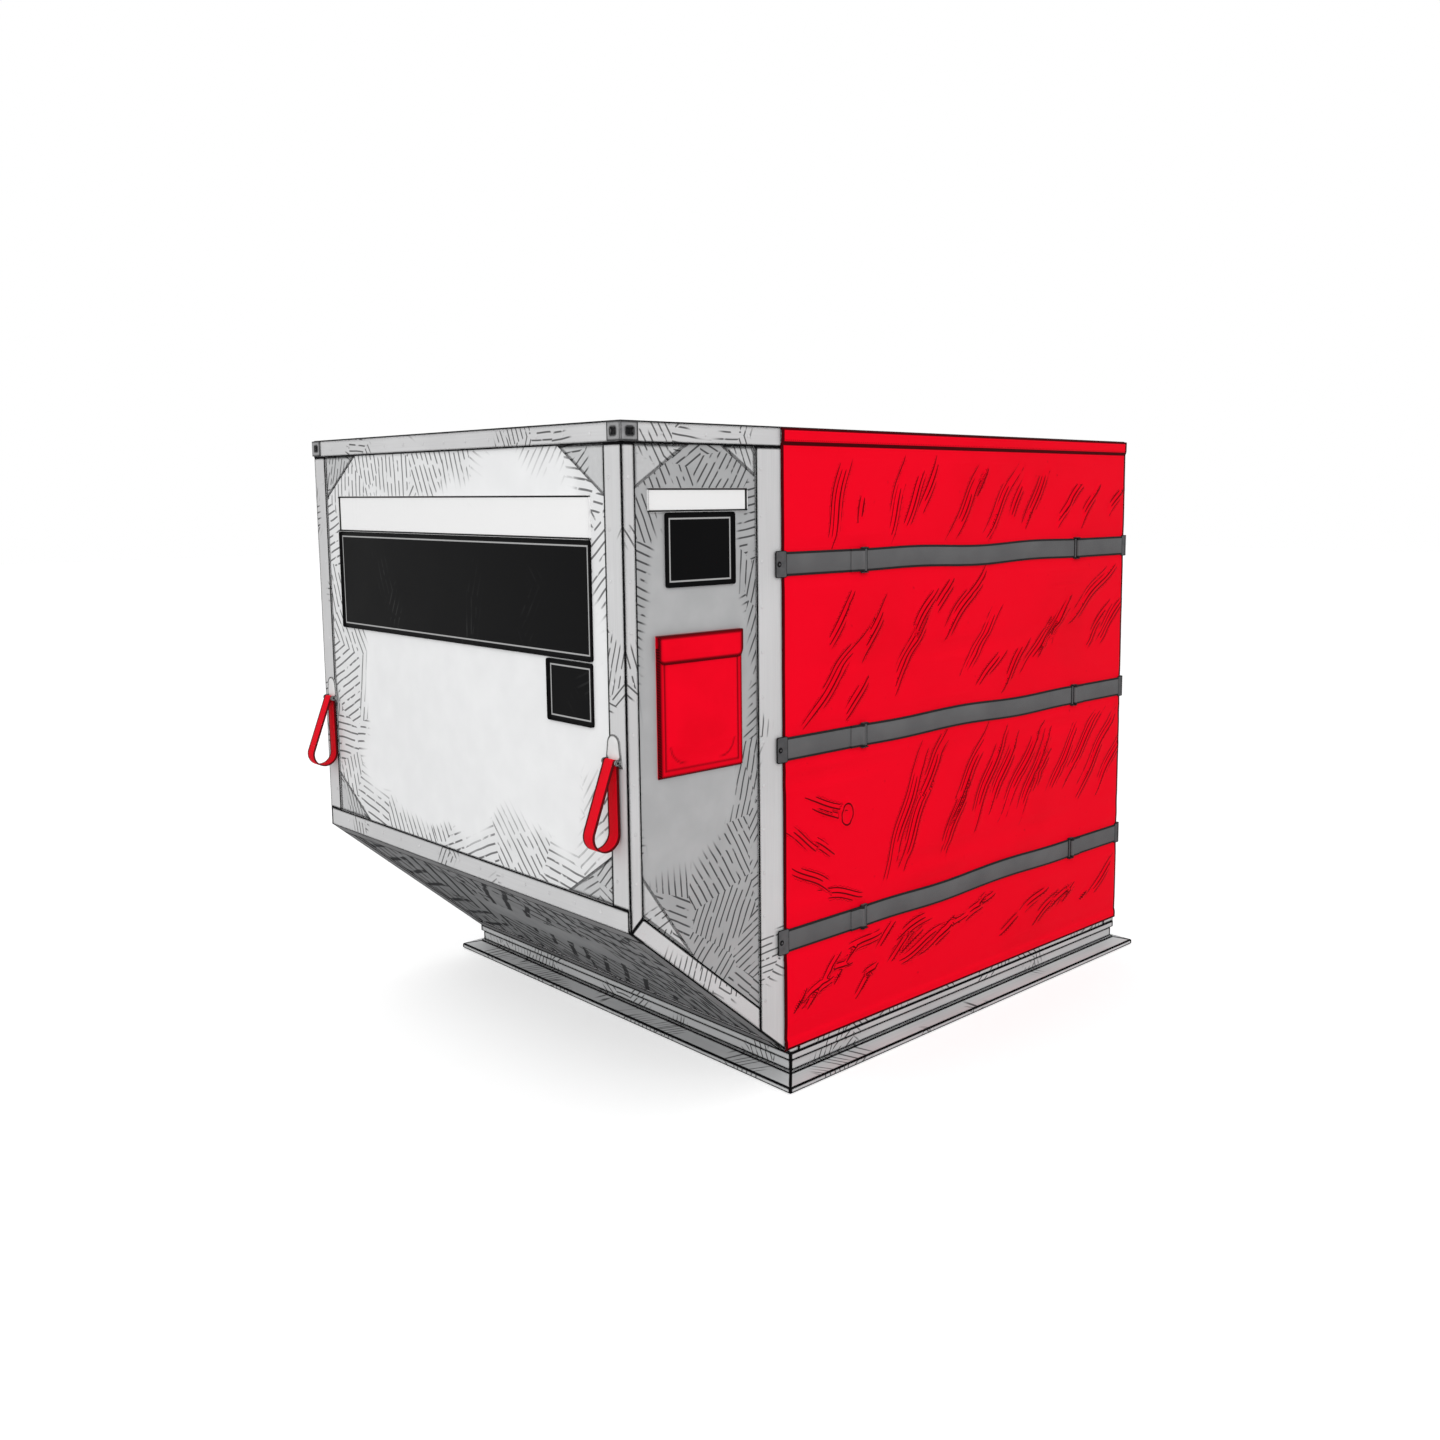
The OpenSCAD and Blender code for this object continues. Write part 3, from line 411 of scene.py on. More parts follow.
noise(place, 40.0).ramp(0.3, 0.7).mix((0.5, 0.5, 0.505, 1.0), FRAME_LIGHT).feed(shader, "Base Color")
(0.34 + 0.14 * noise(place, 300.0)).feed(shader, "Roughness")
rivets.data.materials.append(rivet_metal)
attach(rivets, "container")

# Corner castings: grey cast blocks over the roof's corners, with a slot in each face for a lashing.
# They are bolted through the roof rails, and a thin dark sheet at the bottom of each slot is painted shade
# for the slot's depth.
casting_paint, shader, place = finish("casting_paint", 0.55, 0.1)
grit = noise(place, 160.0)
tone = (0.6 * noise(place, 20.0) + 0.4 * grit).ramp(0.3, 0.7)
cast = tone.mix((0.22, 0.22, 0.225, 1.0), (0.32, 0.32, 0.325, 1.0))
# Dark lines along the casting's edges, painted shade in its hollow corners.
(0.95 * edge_lines_and_corner_shade(place, 0.009)).mix(cast, INK).feed(shader, "Base Color")
(0.45 + 0.2 * grit).feed(shader, "Roughness")
bump(place, grit, 0.0006).feed(shader, "Normal")
dress(casting_paint, "corner_caps")

# Thin dark sheets in the slots, painted shade rather than a real part: their size and depth.
SHADE_SHEET_W = 0.0196
SHADE_SHEET_H = 0.0156
SHADE_SHEET_T = 0.0006
SHADE_SHEET_IN = 0.026
CAST_T = 0.004
SHADE_SHEET_DEEP = CAST_T - 0.5 * SHADE_SHEET_T
caps_low, caps_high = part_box("corner_caps")
shade_sheet_z = 0.5 * (caps_low.z + caps_high.z)
shade_sheet_spots = [(caps_low.x + SHADE_SHEET_IN, caps_low.y + SHADE_SHEET_DEEP, True)]
for x in (caps_low.x + SHADE_SHEET_IN, caps_high.x - SHADE_SHEET_IN):
    shade_sheet_spots.append((x, caps_high.y - SHADE_SHEET_DEEP, True))
for x in (caps_low.x + SHADE_SHEET_DEEP, caps_high.x - SHADE_SHEET_DEEP):
    shade_sheet_spots += [(x, caps_low.y + SHADE_SHEET_IN, False), (x, caps_high.y - SHADE_SHEET_IN, False)]
bpy.ops.object.select_all(action="DESELECT")
bpy.ops.mesh.primitive_cube_add(size=1.0, scale=(SHADE_SHEET_W, SHADE_SHEET_T, SHADE_SHEET_H))
cut_shade_sheet = bpy.context.object
bpy.ops.object.transform_apply(location=True, rotation=False, scale=True)
bpy.ops.object.modifier_add(type="BEVEL")
cut_shade_sheet.modifiers[-1].width = 0.25 * SHADE_SHEET_T
cut_shade_sheet.modifiers[-1].segments = 2
bpy.ops.object.modifier_apply(modifier=cut_shade_sheet.modifiers[-1].name)
shade_sheets = []
for x, y, on_end in shade_sheet_spots:
    shade_sheet = cut_shade_sheet.copy()
    shade_sheet.data = cut_shade_sheet.data.copy()
    turn = Matrix.Rotation(0.0 if on_end else 0.5 * math.pi, 4, "Z")
    shade_sheet.data.transform(Matrix.Translation((x, y, shade_sheet_z)) @ turn)
    bpy.context.collection.objects.link(shade_sheet)
    shade_sheets.append(shade_sheet)
bpy.data.objects.remove(cut_shade_sheet)
bpy.ops.object.select_all(action="DESELECT")
for shade_sheet in shade_sheets:
    shade_sheet.select_set(True)
bpy.context.view_layer.objects.active = shade_sheets[0]
bpy.ops.object.join()
slot_shade_sheets = bpy.context.object
slot_shade_sheets.name = "casting_slot_pads"
# Near-black paint of the sheets in the slots: painted shade.
pad_rubber, shader, place = finish("pad_rubber", 0.8)
noise(place, 200.0).ramp(0.3, 0.7).mix(INK, (0.02, 0.02, 0.021, 1.0)).feed(shader, "Base Color")
shader.inputs["Specular IOR Level"].default_value = 0.1
slot_shade_sheets.data.materials.append(pad_rubber)
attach(slot_shade_sheets, "container")

# Sign plates: thin sheets of plastic, glued to the white side and to the grey front.
# Each has a plain line round its edge.


def sign_plate(name, corner, size, facing, colour, line, roughness):
    """A thin plate with rounded corners and a printed line round its edge."""
    half = 0.5 * Vector(size)
    centre = Vector(corner) + half
    bpy.ops.object.select_all(action="DESELECT")
    bpy.ops.mesh.primitive_cube_add(size=1.0, location=centre, scale=size)
    plate = bpy.context.object
    plate.name = name
    bpy.ops.object.transform_apply(location=True, rotation=False, scale=True)
    across = [i for i in range(3) if i != facing]
    for edge in plate.data.edges:
        a, b = [plate.data.vertices[v].co for v in edge.vertices]
        edge.select = abs(a[facing] - b[facing]) > 0.5 * size[facing]
    bpy.ops.object.mode_set(mode="EDIT")
    bpy.ops.mesh.select_mode(type="EDGE")
    bpy.ops.mesh.bevel(offset=0.006, segments=4)
    bpy.ops.object.mode_set(mode="OBJECT")
    bpy.ops.object.modifier_add(type="BEVEL")
    plate.modifiers[-1].width = 0.0003
    plate.modifiers[-1].segments = 2
    bpy.ops.object.modifier_apply(modifier=plate.modifiers[-1].name)
    material, shader, place = finish(name + "_print", roughness)
    parts = [sides(place)[i] for i in across]
    inner = [half[i] - abs(part - centre[i]) for i, part in zip(across, parts)]
    rim = place.math("MINIMUM", *inner)
    band = rim.ramp(line[0], line[0] + 0.001) * rim.ramp(line[1] + 0.001, line[1])
    haze = noise(place, 8.0)
    scratch = rubbed(place, parts[0], parts[1], 0.17, 0.021) * noise(place, 5.0).ramp(0.55, 0.75)
    faded = (0.3 * haze).mix(colour, line[3])
    printed = band.mix(faded, line[2])
    (0.05 * scratch).mix(printed, (0.4, 0.4, 0.4, 1.0)).feed(shader, "Base Color")
    (roughness - 0.05 + 0.2 * haze).feed(shader, "Roughness")
    shader.inputs["Specular IOR Level"].default_value = 0.025
    plate.data.materials.append(material)
    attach(plate, "container")


SIGN_T = 0.0012
BLACK = (0.003, 0.003, 0.0033, 1.0)
BLACK_FADED = (0.008, 0.008, 0.0084, 1.0)
PAPER = (0.88, 0.88, 0.88, 1.0)
PAPER_FADED = (0.82, 0.82, 0.815, 1.0)
white_line = (0.011, 0.0145, (0.42, 0.42, 0.42, 1.0), BLACK_FADED)
black_line = (0.0, 0.004, (0.012, 0.012, 0.012, 1.0), PAPER_FADED)
x_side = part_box("side_panel")[0].x - SIGN_T
y_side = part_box("front_panel")[0].y - SIGN_T
sign_plate("side_strip_plate", (x_side, -0.604, 1.3705), (SIGN_T, 1.19, 0.0975), 0,
           PAPER, black_line, 0.4)
sign_plate("side_sign_plate", (x_side, -0.602, 1.1), (SIGN_T, 1.192, 0.27), 0,
           BLACK, white_line, 0.35)
sign_plate("side_square_plate", (x_side, -0.6, 0.952), (SIGN_T, 0.178, 0.144), 0,
           BLACK, white_line, 0.35)
sign_plate("front_strip_plate", (-1.155, y_side, 1.4305), (0.29, SIGN_T, 0.0525), 1,
           PAPER, black_line, 0.4)
sign_plate("front_sign_plate", (-1.108, y_side, 1.264), (0.204, SIGN_T, 0.165), 1,
           BLACK, white_line, 0.35)

# Bars: flat aluminium in the curtain's header and bottom hem.
# The header's bar is bolted to the roof rail through the fabric, the hem's bar lies loose in its pocket.
bar_metal = satin_metal("bar_metal", (0.45, 0.455, 0.46, 1.0), (0.55, 0.555, 0.56, 1.0),
                        DRAWN_X, 0.35)
dress(bar_metal, "header_rail", "curtain_bar")

# Curtain: one sheet of coated red fabric, sewn round a bar at its header and one at its hem.
# It hangs over the doorway, pulled askew by its straps into slanting creases,
# and goes up in four pleats, so it is made in four lengths, each round one of the pleats' fold lines.
CREASE_GROUPS = (
    # band above the hem or a strap, share of the width from and to, number,
    # lean in degrees from and to, length
    (3, 0.08, 0.95, 14, 74, 42, 0.19),
    (2, 0.02, 0.55, 10, 50, 44, 0.26),
    (2, 0.55, 0.95, 7, 44, 36, 0.26),
    (1, 0.22, 0.93, 14, 62, 42, 0.25),
    (1, 0.0, 0.1, 6, -42, -12, 0.14),
    (0, 0.0, 0.3, 9, 58, 34, 0.12),
    (0, 0.0, 0.93, 17, 12, 30, 0.14),
)
CREASE_MARGIN = 0.045
CREASE_GAP = 0.012
CREASE_RISE = 0.0032
CREASE_DIP = 0.0022
PUCKER_AT = (-0.538, 0.658)
PUCKER_R = 0.021
MOST_OUT = 0.0105
HEM_H = 0.026
MESH_STEP = 0.0045
CLOTH_T = 0.0016
curtain_low, curtain_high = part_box("curtain_header")
curtain_face = curtain_low.y
cloth_left, cloth_right = curtain_low.x, curtain_high.x
band_low, band_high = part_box("curtain_band")
hem_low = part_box("curtain_4")[0]
folds = [joint for joint in frame["joints"] if joint["name"].startswith("curtain_fold")]
fold_lines = [joint["pos_m"][2] for joint in folds]
join_lines = [0.5 * (upper + lower) for upper, lower in zip(fold_lines, fold_lines[1:])]
strap_boxes = [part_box("strap_" + row) for row in ("top", "middle", "bottom")]
strap_lines = [0.5 * (low.z + high.z) for low, high in strap_boxes]


def soft_step(value):
    """A smooth rise from 0 to 1."""
    value = np.clip(value, 0, 1)
    return value * value * (3 - 2 * value)


def slanting_creases():
    """Start and end points of the creases, spread over each group's part of the curtain."""
    chance = random.Random(5)
    levels = [hem_low.z + HEM_H, *reversed(strap_lines), band_low.z]
    found = []
    for band, start, end, count, lean_from, lean_to, length in CREASE_GROUPS:
        low, high = levels[band] + CREASE_MARGIN, levels[band + 1] - CREASE_MARGIN
        for i in range(count):
            share = (i + chance.uniform(0.15, 0.85)) / count
            lean = math.radians(lean_from + (lean_to - lean_from) * share + chance.uniform(-7, 7))
            reach = length * chance.uniform(0.5, 1.25)
            rise = min(reach * math.sin(abs(lean)), high - low)
            x = cloth_left + (cloth_right - cloth_left) * (start + (end - start) * share)
            z = low + chance.uniform(0, 1) * (high - low - rise)
            ends = (z, z + rise) if lean > 0 else (z + rise, z)
            found.append((x, ends[0], x + reach * math.cos(lean), ends[1]))
    return found


def cloth_relief(x, z):
    """How far the cloth stands out at x and z, how far beside a crease that is, and how sharp it is."""
    out = 0.0022 * (1 + np.sin(9.0 * x - 7.0 * z) * np.sin(5.0 * z + 4.0 * x))
    beside = np.zeros_like(x)
    sharp = np.zeros_like(x)
    chance = random.Random(11)
    for x0, z0, x1, z1 in slanting_creases():
        way = np.array((x1 - x0, z1 - z0))
        length = np.hypot(*way)
        way = way / length
        t = ((x - x0) * way[0] + (z - z0) * way[1]) / length
        off = (x - x0) * way[1] - (z - z0) * way[0]
        bow = 0.02 * length * np.sin(np.pi * np.clip(t, 0, 1))
        off = off + bow + 0.004 * np.sin(31 * t * length + 90 * x0)
        crease_shade_strokes = np.round(off / CREASE_GAP)
        most = min(4, max(1, round(length / 0.05)))
        for k in range(-(most // 2), most - most // 2):
            start, end = chance.uniform(-0.2, 0.3), chance.uniform(0.65, 1.25)
            share = chance.uniform(0.35, 0.8) if k else 1.0
            part = (t - start) / (end - start)
            taper = np.clip(4 * part * (1 - part), 0, 1) ** 0.6
            if k >= 0:
                ridge = np.exp(-((off - 1.3 * k * CREASE_GAP) / 0.009) ** 2)
                out += CREASE_RISE * share * taper * ridge
            sharper = (crease_shade_strokes == k) & (share * taper > sharp)
            beside = np.where(sharper, off, beside)
            sharp = np.where(sharper, share * taper, sharp)
        out -= CREASE_DIP * np.clip(4 * t * (1 - t), 0, 1) * np.exp(-((off + 0.01) / 0.008) ** 2)
    r = np.hypot(x - PUCKER_AT[0], (z - PUCKER_AT[1]) * 0.75)
    ring = np.exp(-((r - PUCKER_R) / 0.007) ** 2)
    out += 0.004 * ring
    beside = np.where(ring > 0.2, r - PUCKER_R, beside)
    sharp = np.where(ring > 0.2, 0.8, sharp)
    out = np.clip(out, 0, MOST_OUT)
    for line in strap_lines:
        out = out * soft_step((np.abs(z - line) - 0.033) / 0.035)
        sharp = np.where(np.abs(z - line) < 0.03, 0, sharp)
    for line in join_lines:
        out = out * soft_step((np.abs(z - line) - 0.004) / 0.03)
    for line in fold_lines:
        out = np.minimum(out, 0.003 + 0.25 * np.abs(z - line))
    edge = np.minimum(x - cloth_left, cloth_right - x)
    return out * (0.25 + 0.75 * np.clip(edge / 0.03, 0, 1)), beside, sharp


def cloth_section():
    """The sheet's path in y and z, from behind the header's bar over its top to the hem's back."""
    inner = band_high.y - 0.0002 - CLOTH_T
    lip = band_low.y
    path = [(inner, band_low.z + 0.004), (inner, band_high.z - 0.002)]
    for i in range(1, 6):
        turn = math.pi * i / 6
        path.append((0.5 * (inner + lip) + 0.5 * (inner - lip) * math.cos(turn),
                     band_high.z - 0.002 + 0.002 * math.sin(turn)))
    path += [(lip, band_high.z - 0.004), (lip + 0.0003, band_low.z + 0.006)]
    path.append((curtain_face, band_low.z - 0.004))
    for line in fold_lines:
        path.append((curtain_face, line))
    hem_top = hem_low.z + HEM_H
    path += [(curtain_face, hem_top + 0.005), (hem_low.y, hem_top - 0.005)]
    path.append((hem_low.y, hem_low.z + 0.004))
    for i in range(1, 6):
        turn = math.pi * i / 6
        path.append((0.5 * (inner + hem_low.y) - 0.5 * (inner - hem_low.y) * math.cos(turn),
                     hem_low.z + 0.004 - 0.0035 * math.sin(turn)))
    path += [(inner, hem_low.z + 0.004), (inner, hem_top - 0.004)]
    return path


def curtain_length(name, rows, bodies):
    """One length of the curtain: a grid over rows of its path, with its creases and its flat cut."""
    columns = np.linspace(cloth_left, cloth_right, round((cloth_right - cloth_left) / MESH_STEP) + 1)
    y, z, run, free = [np.array(part) for part in zip(*rows)]
    x_all = np.repeat(columns[None, :], len(rows), 0)
    z_all = np.repeat(z[:, None], len(columns), 1)
    out, beside, sharp = cloth_relief(x_all, z_all)
    y_all = y[:, None] - out * free[:, None]
    points = np.stack([x_all, y_all, z_all], -1).reshape(-1, 3)
    wide = len(columns)
    faces = [(r * wide + c, (r + 1) * wide + c, (r + 1) * wide + c + 1, r * wide + c + 1)
             for r in range(len(rows) - 1) for c in range(wide - 1)]
    mesh = bpy.data.meshes.new(name)
    mesh.from_pydata(points.tolist(), [], faces)
    # The crease sharpness is kept for the painted shade of the creases.
    for title, values in (("beside_crease", beside), ("crease", sharp * free[:, None])):
        layer = mesh.attributes.new(title, "FLOAT", "POINT")
        layer.data.foreach_set("value", values.reshape(-1).astype(np.float32))
    layer = mesh.uv_layers.new(name="cut")
    flat = np.stack([x_all, np.repeat(run[:, None], wide, 1)], -1).reshape(-1, 2)
    loops = np.array([v for face in faces for v in face])
    layer.data.foreach_set("uv", flat[loops].reshape(-1).astype(np.float32))
    cloth = bpy.data.objects.new(name, mesh)
    bpy.context.collection.objects.link(cloth)
    bpy.ops.object.select_all(action="DESELECT")
    cloth.select_set(True)
    bpy.context.view_layer.objects.active = cloth
    bpy.ops.object.modifier_add(type="SOLIDIFY")
    cloth.modifiers[-1].thickness = CLOTH_T
    cloth.modifiers[-1].offset = -1.0
    bpy.ops.object.modifier_apply(modifier=cloth.modifiers[-1].name)
    bpy.ops.object.shade_smooth_by_angle(angle=math.radians(60))
    cloth.data.materials.append(curtain_cloth)
    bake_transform(cloth)
    return cloth


rows = []
run = 0.0
section = cloth_section()
for (y0, z0), (y1, z1) in zip(section, section[1:]):
    gap = math.hypot(y1 - y0, z1 - z0)
    steps = max(1, math.ceil(gap / MESH_STEP))
    hangs = y0 + y1 < 1.999 * curtain_face
    for i in range(steps):
        t = i / steps
        z = z0 + (z1 - z0) * t
        free = min(band_low.z - 0.004 - z, z - hem_low.z - 0.031) / 0.036 if hangs else 0.0
        rows.append((y0 + (y1 - y0) * t, z, run + gap * t, min(1.0, max(0.0, free))))
    run += gap
rows.append((section[-1][0], section[-1][1], run, 0.0))
front_rows = [i for i, row in enumerate(rows) if row[0] <= curtain_face + 0.0005]
cuts = [0]
for line in join_lines:
    away = [abs(rows[i][1] - line) for i in front_rows]
    cuts.append(front_rows[away.index(min(away))])
cuts.append(len(rows) - 1)
seam_runs = []
for line in (band_high.z - 0.002, band_low.z + 0.001, hem_low.z + 0.003):
    away = [abs(rows[i][1] - line) for i in front_rows]
    seam_runs.append(rows[front_rows[away.index(min(away))]][2])

RED_DARK = (0.86, 0.001, 0.013, 1.0)
RED = (0.95, 0.0012, 0.016, 1.0)
# Near-black red of the painted shade in the creases, also used for seams and edges.
CREASE_SHADE_AND_SEAM_RED = (0.015, 0.001, 0.0015, 1.0)
curtain_cloth, shader, place = finish("curtain_cloth", 0.5)
flat = place.node("ShaderNodeUVMap", {"uv_map": "cut"}, {})
over, down = sides(flat)[:2]
beside = place.node("ShaderNodeAttribute", {"attribute_name": "beside_crease"}, {}, "Fac")
crease = place.node("ShaderNodeAttribute", {"attribute_name": "crease"}, {}, "Fac")
warp = flat.node("ShaderNodeTexWave", {"bands_direction": "X"}, {"Vector": flat, "Scale": 110.0})
weft = flat.node("ShaderNodeTexWave", {"bands_direction": "Y"}, {"Vector": flat, "Scale": 110.0})
cloud = noise(flat, 2.6)
grit = noise(flat, 45.0, 1.0)
# Thin dark strokes along each crease: painted shade in the creases.
from_line = CREASE_GAP * abs(place.math("FRACT", beside / CREASE_GAP + 0.5) - 0.5)
broken = (crease + 0.6 * grit).ramp(0.42, 0.68)
crease_shade_strokes = (from_line / (0.45 + 0.55 * crease)).ramp(0.0024, 0.0012) * broken
edges = place.math("MINIMUM", over - cloth_left, cloth_right - over).ramp(0.0095, 0.0075)
for seam in seam_runs:
    edges = place.math("MAXIMUM", edges, abs(down - seam).ramp(0.006, 0.004))
thread = place.math("FRACT", over / 0.007).ramp(0.3, 0.5)
stitches = abs(down - seam_runs[1] + 0.008).ramp(0.0014, 0.0006) * thread
lines = place.math("MAXIMUM", place.math("MAXIMUM", 0.9 * crease_shade_strokes, 0.95 * edges), 0.5 * stitches)
# The red is painted darker where the creases are sharp, as shade.
cloth_tone_with_crease_shade = (cloud - 0.25 * crease).ramp(0.2, 0.55).mix(RED_DARK, RED)
lines.mix(cloth_tone_with_crease_shade, CREASE_SHADE_AND_SEAM_RED).feed(shader, "Base Color")
(0.42 + 0.2 * cloud).feed(shader, "Roughness")
bump(place, 0.15 * warp * weft - 0.6 * crease_shade_strokes - 0.6 * edges, 0.001).feed(shader, "Normal")
shader.inputs["Specular IOR Level"].default_value = 0.02

bodies = ["container", "fold_1", "fold_2", "fold_3", "fold_4"]
for i, line in enumerate(fold_lines):
    part = rows[cuts[i]:cuts[i + 1] + 1]
    start = (0.0, curtain_face, line + 0.012)
    end = (0.0, curtain_face, line - 0.012)
    piece = curtain_length(f"curtain_cloth_{i + 1}", part, (bodies[i], bodies[i + 1]))
    part[-1][2] - part[0][2]
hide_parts("curtain_band", "curtain_header", "curtain_1")
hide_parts("curtain_2")
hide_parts("curtain_3")
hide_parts("curtain_4")

# Straps: woven grey webbing over the curtain, its middle sewn to the cloth.
# Each end is sewn round the bar of a flat buckle, and its steel end plate hooks over the door's frame.


def ribbon(name, path, width, thick, edge, material, body):
    """Webbing along a closed or open path, with rounded selvedges. Edge is the way across it."""
    path = [Vector(point) for point in path]
    across = Vector(edge)
    profile = []
    for i in range(12):
        turn = 2 * math.pi * i / 12 + math.pi / 12
        half = 0.5 * width - 0.3 * thick * (1 - abs(math.cos(turn)))
        profile.append((math.copysign(half, math.cos(turn)), 0.5 * thick * math.sin(turn) * 1.03))
    points = []
    runs = [0.0]
    for i, point in enumerate(path):
        way = path[min(i + 1, len(path) - 1)] - path[max(i - 1, 0)]
        out = across.cross(way).normalized()
        points += [point + across * u + out * v for u, v in profile]
        if i:
            runs.append(runs[-1] + (point - path[i - 1]).length)
    n = len(profile)
    faces = [tuple(range(n))[::-1], tuple(range(len(points) - n, len(points)))]
    for i in range(len(path) - 1):
        a, b = i * n, (i + 1) * n
        faces += [(a + j, a + (j + 1) % n, b + (j + 1) % n, b + j) for j in range(n)]
    mesh = bpy.data.meshes.new(name)
    mesh.from_pydata(points, [], faces)
    layer = mesh.uv_layers.new(name="cut")
    for face in mesh.polygons:
        for loop in face.loop_indices:
            v = mesh.loops[loop].vertex_index
            layer.data[loop].uv = (runs[v // n], profile[v % n][0])
    band = bpy.data.objects.new(name, mesh)
    bpy.context.collection.objects.link(band)
    bpy.ops.object.select_all(action="DESELECT")
    band.select_set(True)
    bpy.context.view_layer.objects.active = band
    bpy.ops.object.mode_set(mode="EDIT")
    bpy.ops.mesh.select_all(action="SELECT")
    bpy.ops.mesh.normals_make_consistent(inside=False)
    bpy.ops.object.mode_set(mode="OBJECT")
    bpy.ops.object.shade_smooth_by_angle(angle=math.radians(50))
    band.data.materials.append(material)
    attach(band, body)
    return band


def webbing_cloth(name, dark, light, thread, width):
    """Woven webbing: fine herringbone ribs across it and a dark selvedge."""
    material, shader, place = finish(name, 0.8)
    flat = place.node("ShaderNodeUVMap", {"uv_map": "cut"}, {})
    along, over = sides(flat)[:2]
    zigzag = abs(place.math("FRACT", over / 0.008) - 0.5)
    rib = abs(place.math("FRACT", (along + 0.006 * zigzag) / 0.0026) - 0.5) * 2.0
    selvedge = abs(over).ramp(0.5 * width - 0.0068, 0.5 * width - 0.0048)
    cloud = noise(place, 9.0)
    tone = (0.5 * cloud + 0.35 * rib).ramp(0.2, 0.7)
    (0.9 * selvedge).mix(tone.mix(dark, light), thread).feed(shader, "Base Color")
    (0.7 + 0.2 * cloud).feed(shader, "Roughness")
    bump(place, rib - 0.8 * selvedge, 0.0005).feed(shader, "Normal")
    shader.inputs["Specular IOR Level"].default_value = 0.1
    return material


strap_low, strap_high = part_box("strap_top")
STRAP_W = strap_high.z - strap_low.z
STRAP_T = strap_high.y - strap_low.y
strap_webbing = webbing_cloth("strap_webbing", (0.105, 0.105, 0.108, 1.0), (0.17, 0.17, 0.173, 1.0),
                              INK, STRAP_W)
WRAP = math.radians(220)
SEWN_BACK = 0.042
strap_body = {"top": "container", "middle": "fold_2", "bottom": "fold_3"}
for row, body in strap_body.items():
    low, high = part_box("strap_" + row)
    middle = 0.5 * (low.z + high.z)
    steps = 60
    path = []
    for i in range(steps + 1):
        t = i / steps
        lift = 0.0007 * math.sin(math.pi * t) * (1 + math.sin(17 * t + middle * 9))
        sag = 0.0045 * math.sin(math.pi * t) * math.sin(9 * t + middle * 5)
        path.append((low.x + (high.x - low.x) * t, 0.5 * (low.y + high.y) - lift, middle + sag))
    strap = ribbon("strap_webbing_" + row, path, STRAP_W, STRAP_T, (0.0, 0.0, 1.0), strap_webbing,
                   body)
    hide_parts("strap_" + row)
    for side, sense in (("left", -1.0), ("right", 1.0)):
        low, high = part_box(f"tail_{row}_{side}")
        swing = f"{row}_{side}_strap_swing"
        bar = next(joint["pos_m"] for joint in frame["joints"] if joint["name"] == swing)
        radius = high.y - bar[1] - 0.5 * STRAP_T
        outer = low.x if side == "left" else high.x
        level = bar[1] + radius
        path = []
        for i in range(25):
            t = i / 24
            path.append((outer + (bar[0] - outer) * t, level, middle))
        for i in range(1, 23):
            turn = WRAP * i / 22
            path.append((bar[0] - sense * radius * math.sin(turn), bar[1] + radius * math.cos(turn),
                         middle))
        rise = WRAP - math.pi
        seat = radius - 1.04 * STRAP_T
        meet = radius * math.sin(rise) + (seat + radius * math.cos(rise)) / math.tan(rise)
        for along in (meet, meet + 0.004, 0.023, SEWN_BACK):
            path.append((bar[0] + sense * along, bar[1] + seat, middle))
        tail = ribbon(f"tail_webbing_{row}_{side}", path, STRAP_W, STRAP_T, (0.0, 0.0, 1.0),
                      strap_webbing, f"{row}_{side}_end")
        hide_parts(f"tail_{row}_{side}")

# Strap fittings: flat buckles, hooked end plates and studs of steel with a dark plating.
# The studs are riveted to the door post, the rest is held by the webbing.
fitting_metal = satin_metal("fitting_metal", (0.075, 0.075, 0.078, 1.0), (0.13, 0.13, 0.134, 1.0),
                            (60.0, 60.0, 60.0), 0.45, edge=0.004)
dress(fitting_metal, "hook_studs")
for row in ("top", "middle", "bottom"):
    dress(fitting_metal, "buckles_" + row, f"hook_{row}_left", f"hook_{row}_right")

# Pouch: coated red fabric, a flat pocket bound round its edges and riveted to the front sheet,
# with a flap that covers its mouth. It carries the load's papers.
POUCH_CLOTH_T = 0.0016
HEM_IN = 0.017
FLAP_R = 0.018
MOUTH_DOWN = 0.028
BACKING_UP = 0.002
pouch_low, pouch_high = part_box("pouch_pocket")
flap_low, flap_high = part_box("pouch_flap")
back_face = pouch_high.y - 0.0018
pouch_cloth, shader, place = finish("pouch_cloth", 0.5)
flat = place.node("ShaderNodeUVMap", {"uv_map": "cut"}, {})
over, up = sides(flat)[:2]
# The seam value holds the stitched hems and outlines, and the painted shade of the pocket's corner
# creases.
seam = place.node("ShaderNodeAttribute", {"attribute_name": "seam"}, {}, "Fac")
cloud = noise(place, 7.0)
warp = flat.node("ShaderNodeTexWave", {"bands_direction": "X"}, {"Vector": flat, "Scale": 110.0})
weft = flat.node("ShaderNodeTexWave", {"bands_direction": "Y"}, {"Vector": flat, "Scale": 110.0})
thread = place.math("FRACT", (over + up) / 0.006).ramp(0.35, 0.5)
base = cloud.ramp(0.25, 0.65).mix(RED_DARK, RED)
(seam * (0.8 + 0.2 * thread)).mix(base, CREASE_SHADE_AND_SEAM_RED).feed(shader, "Base Color")
(0.42 + 0.18 * cloud).feed(shader, "Roughness")
bump(place, 0.1 * warp * weft + 0.4 * cloud - seam, 0.0012).feed(shader, "Normal")
shader.inputs["Specular IOR Level"].default_value = 0.02


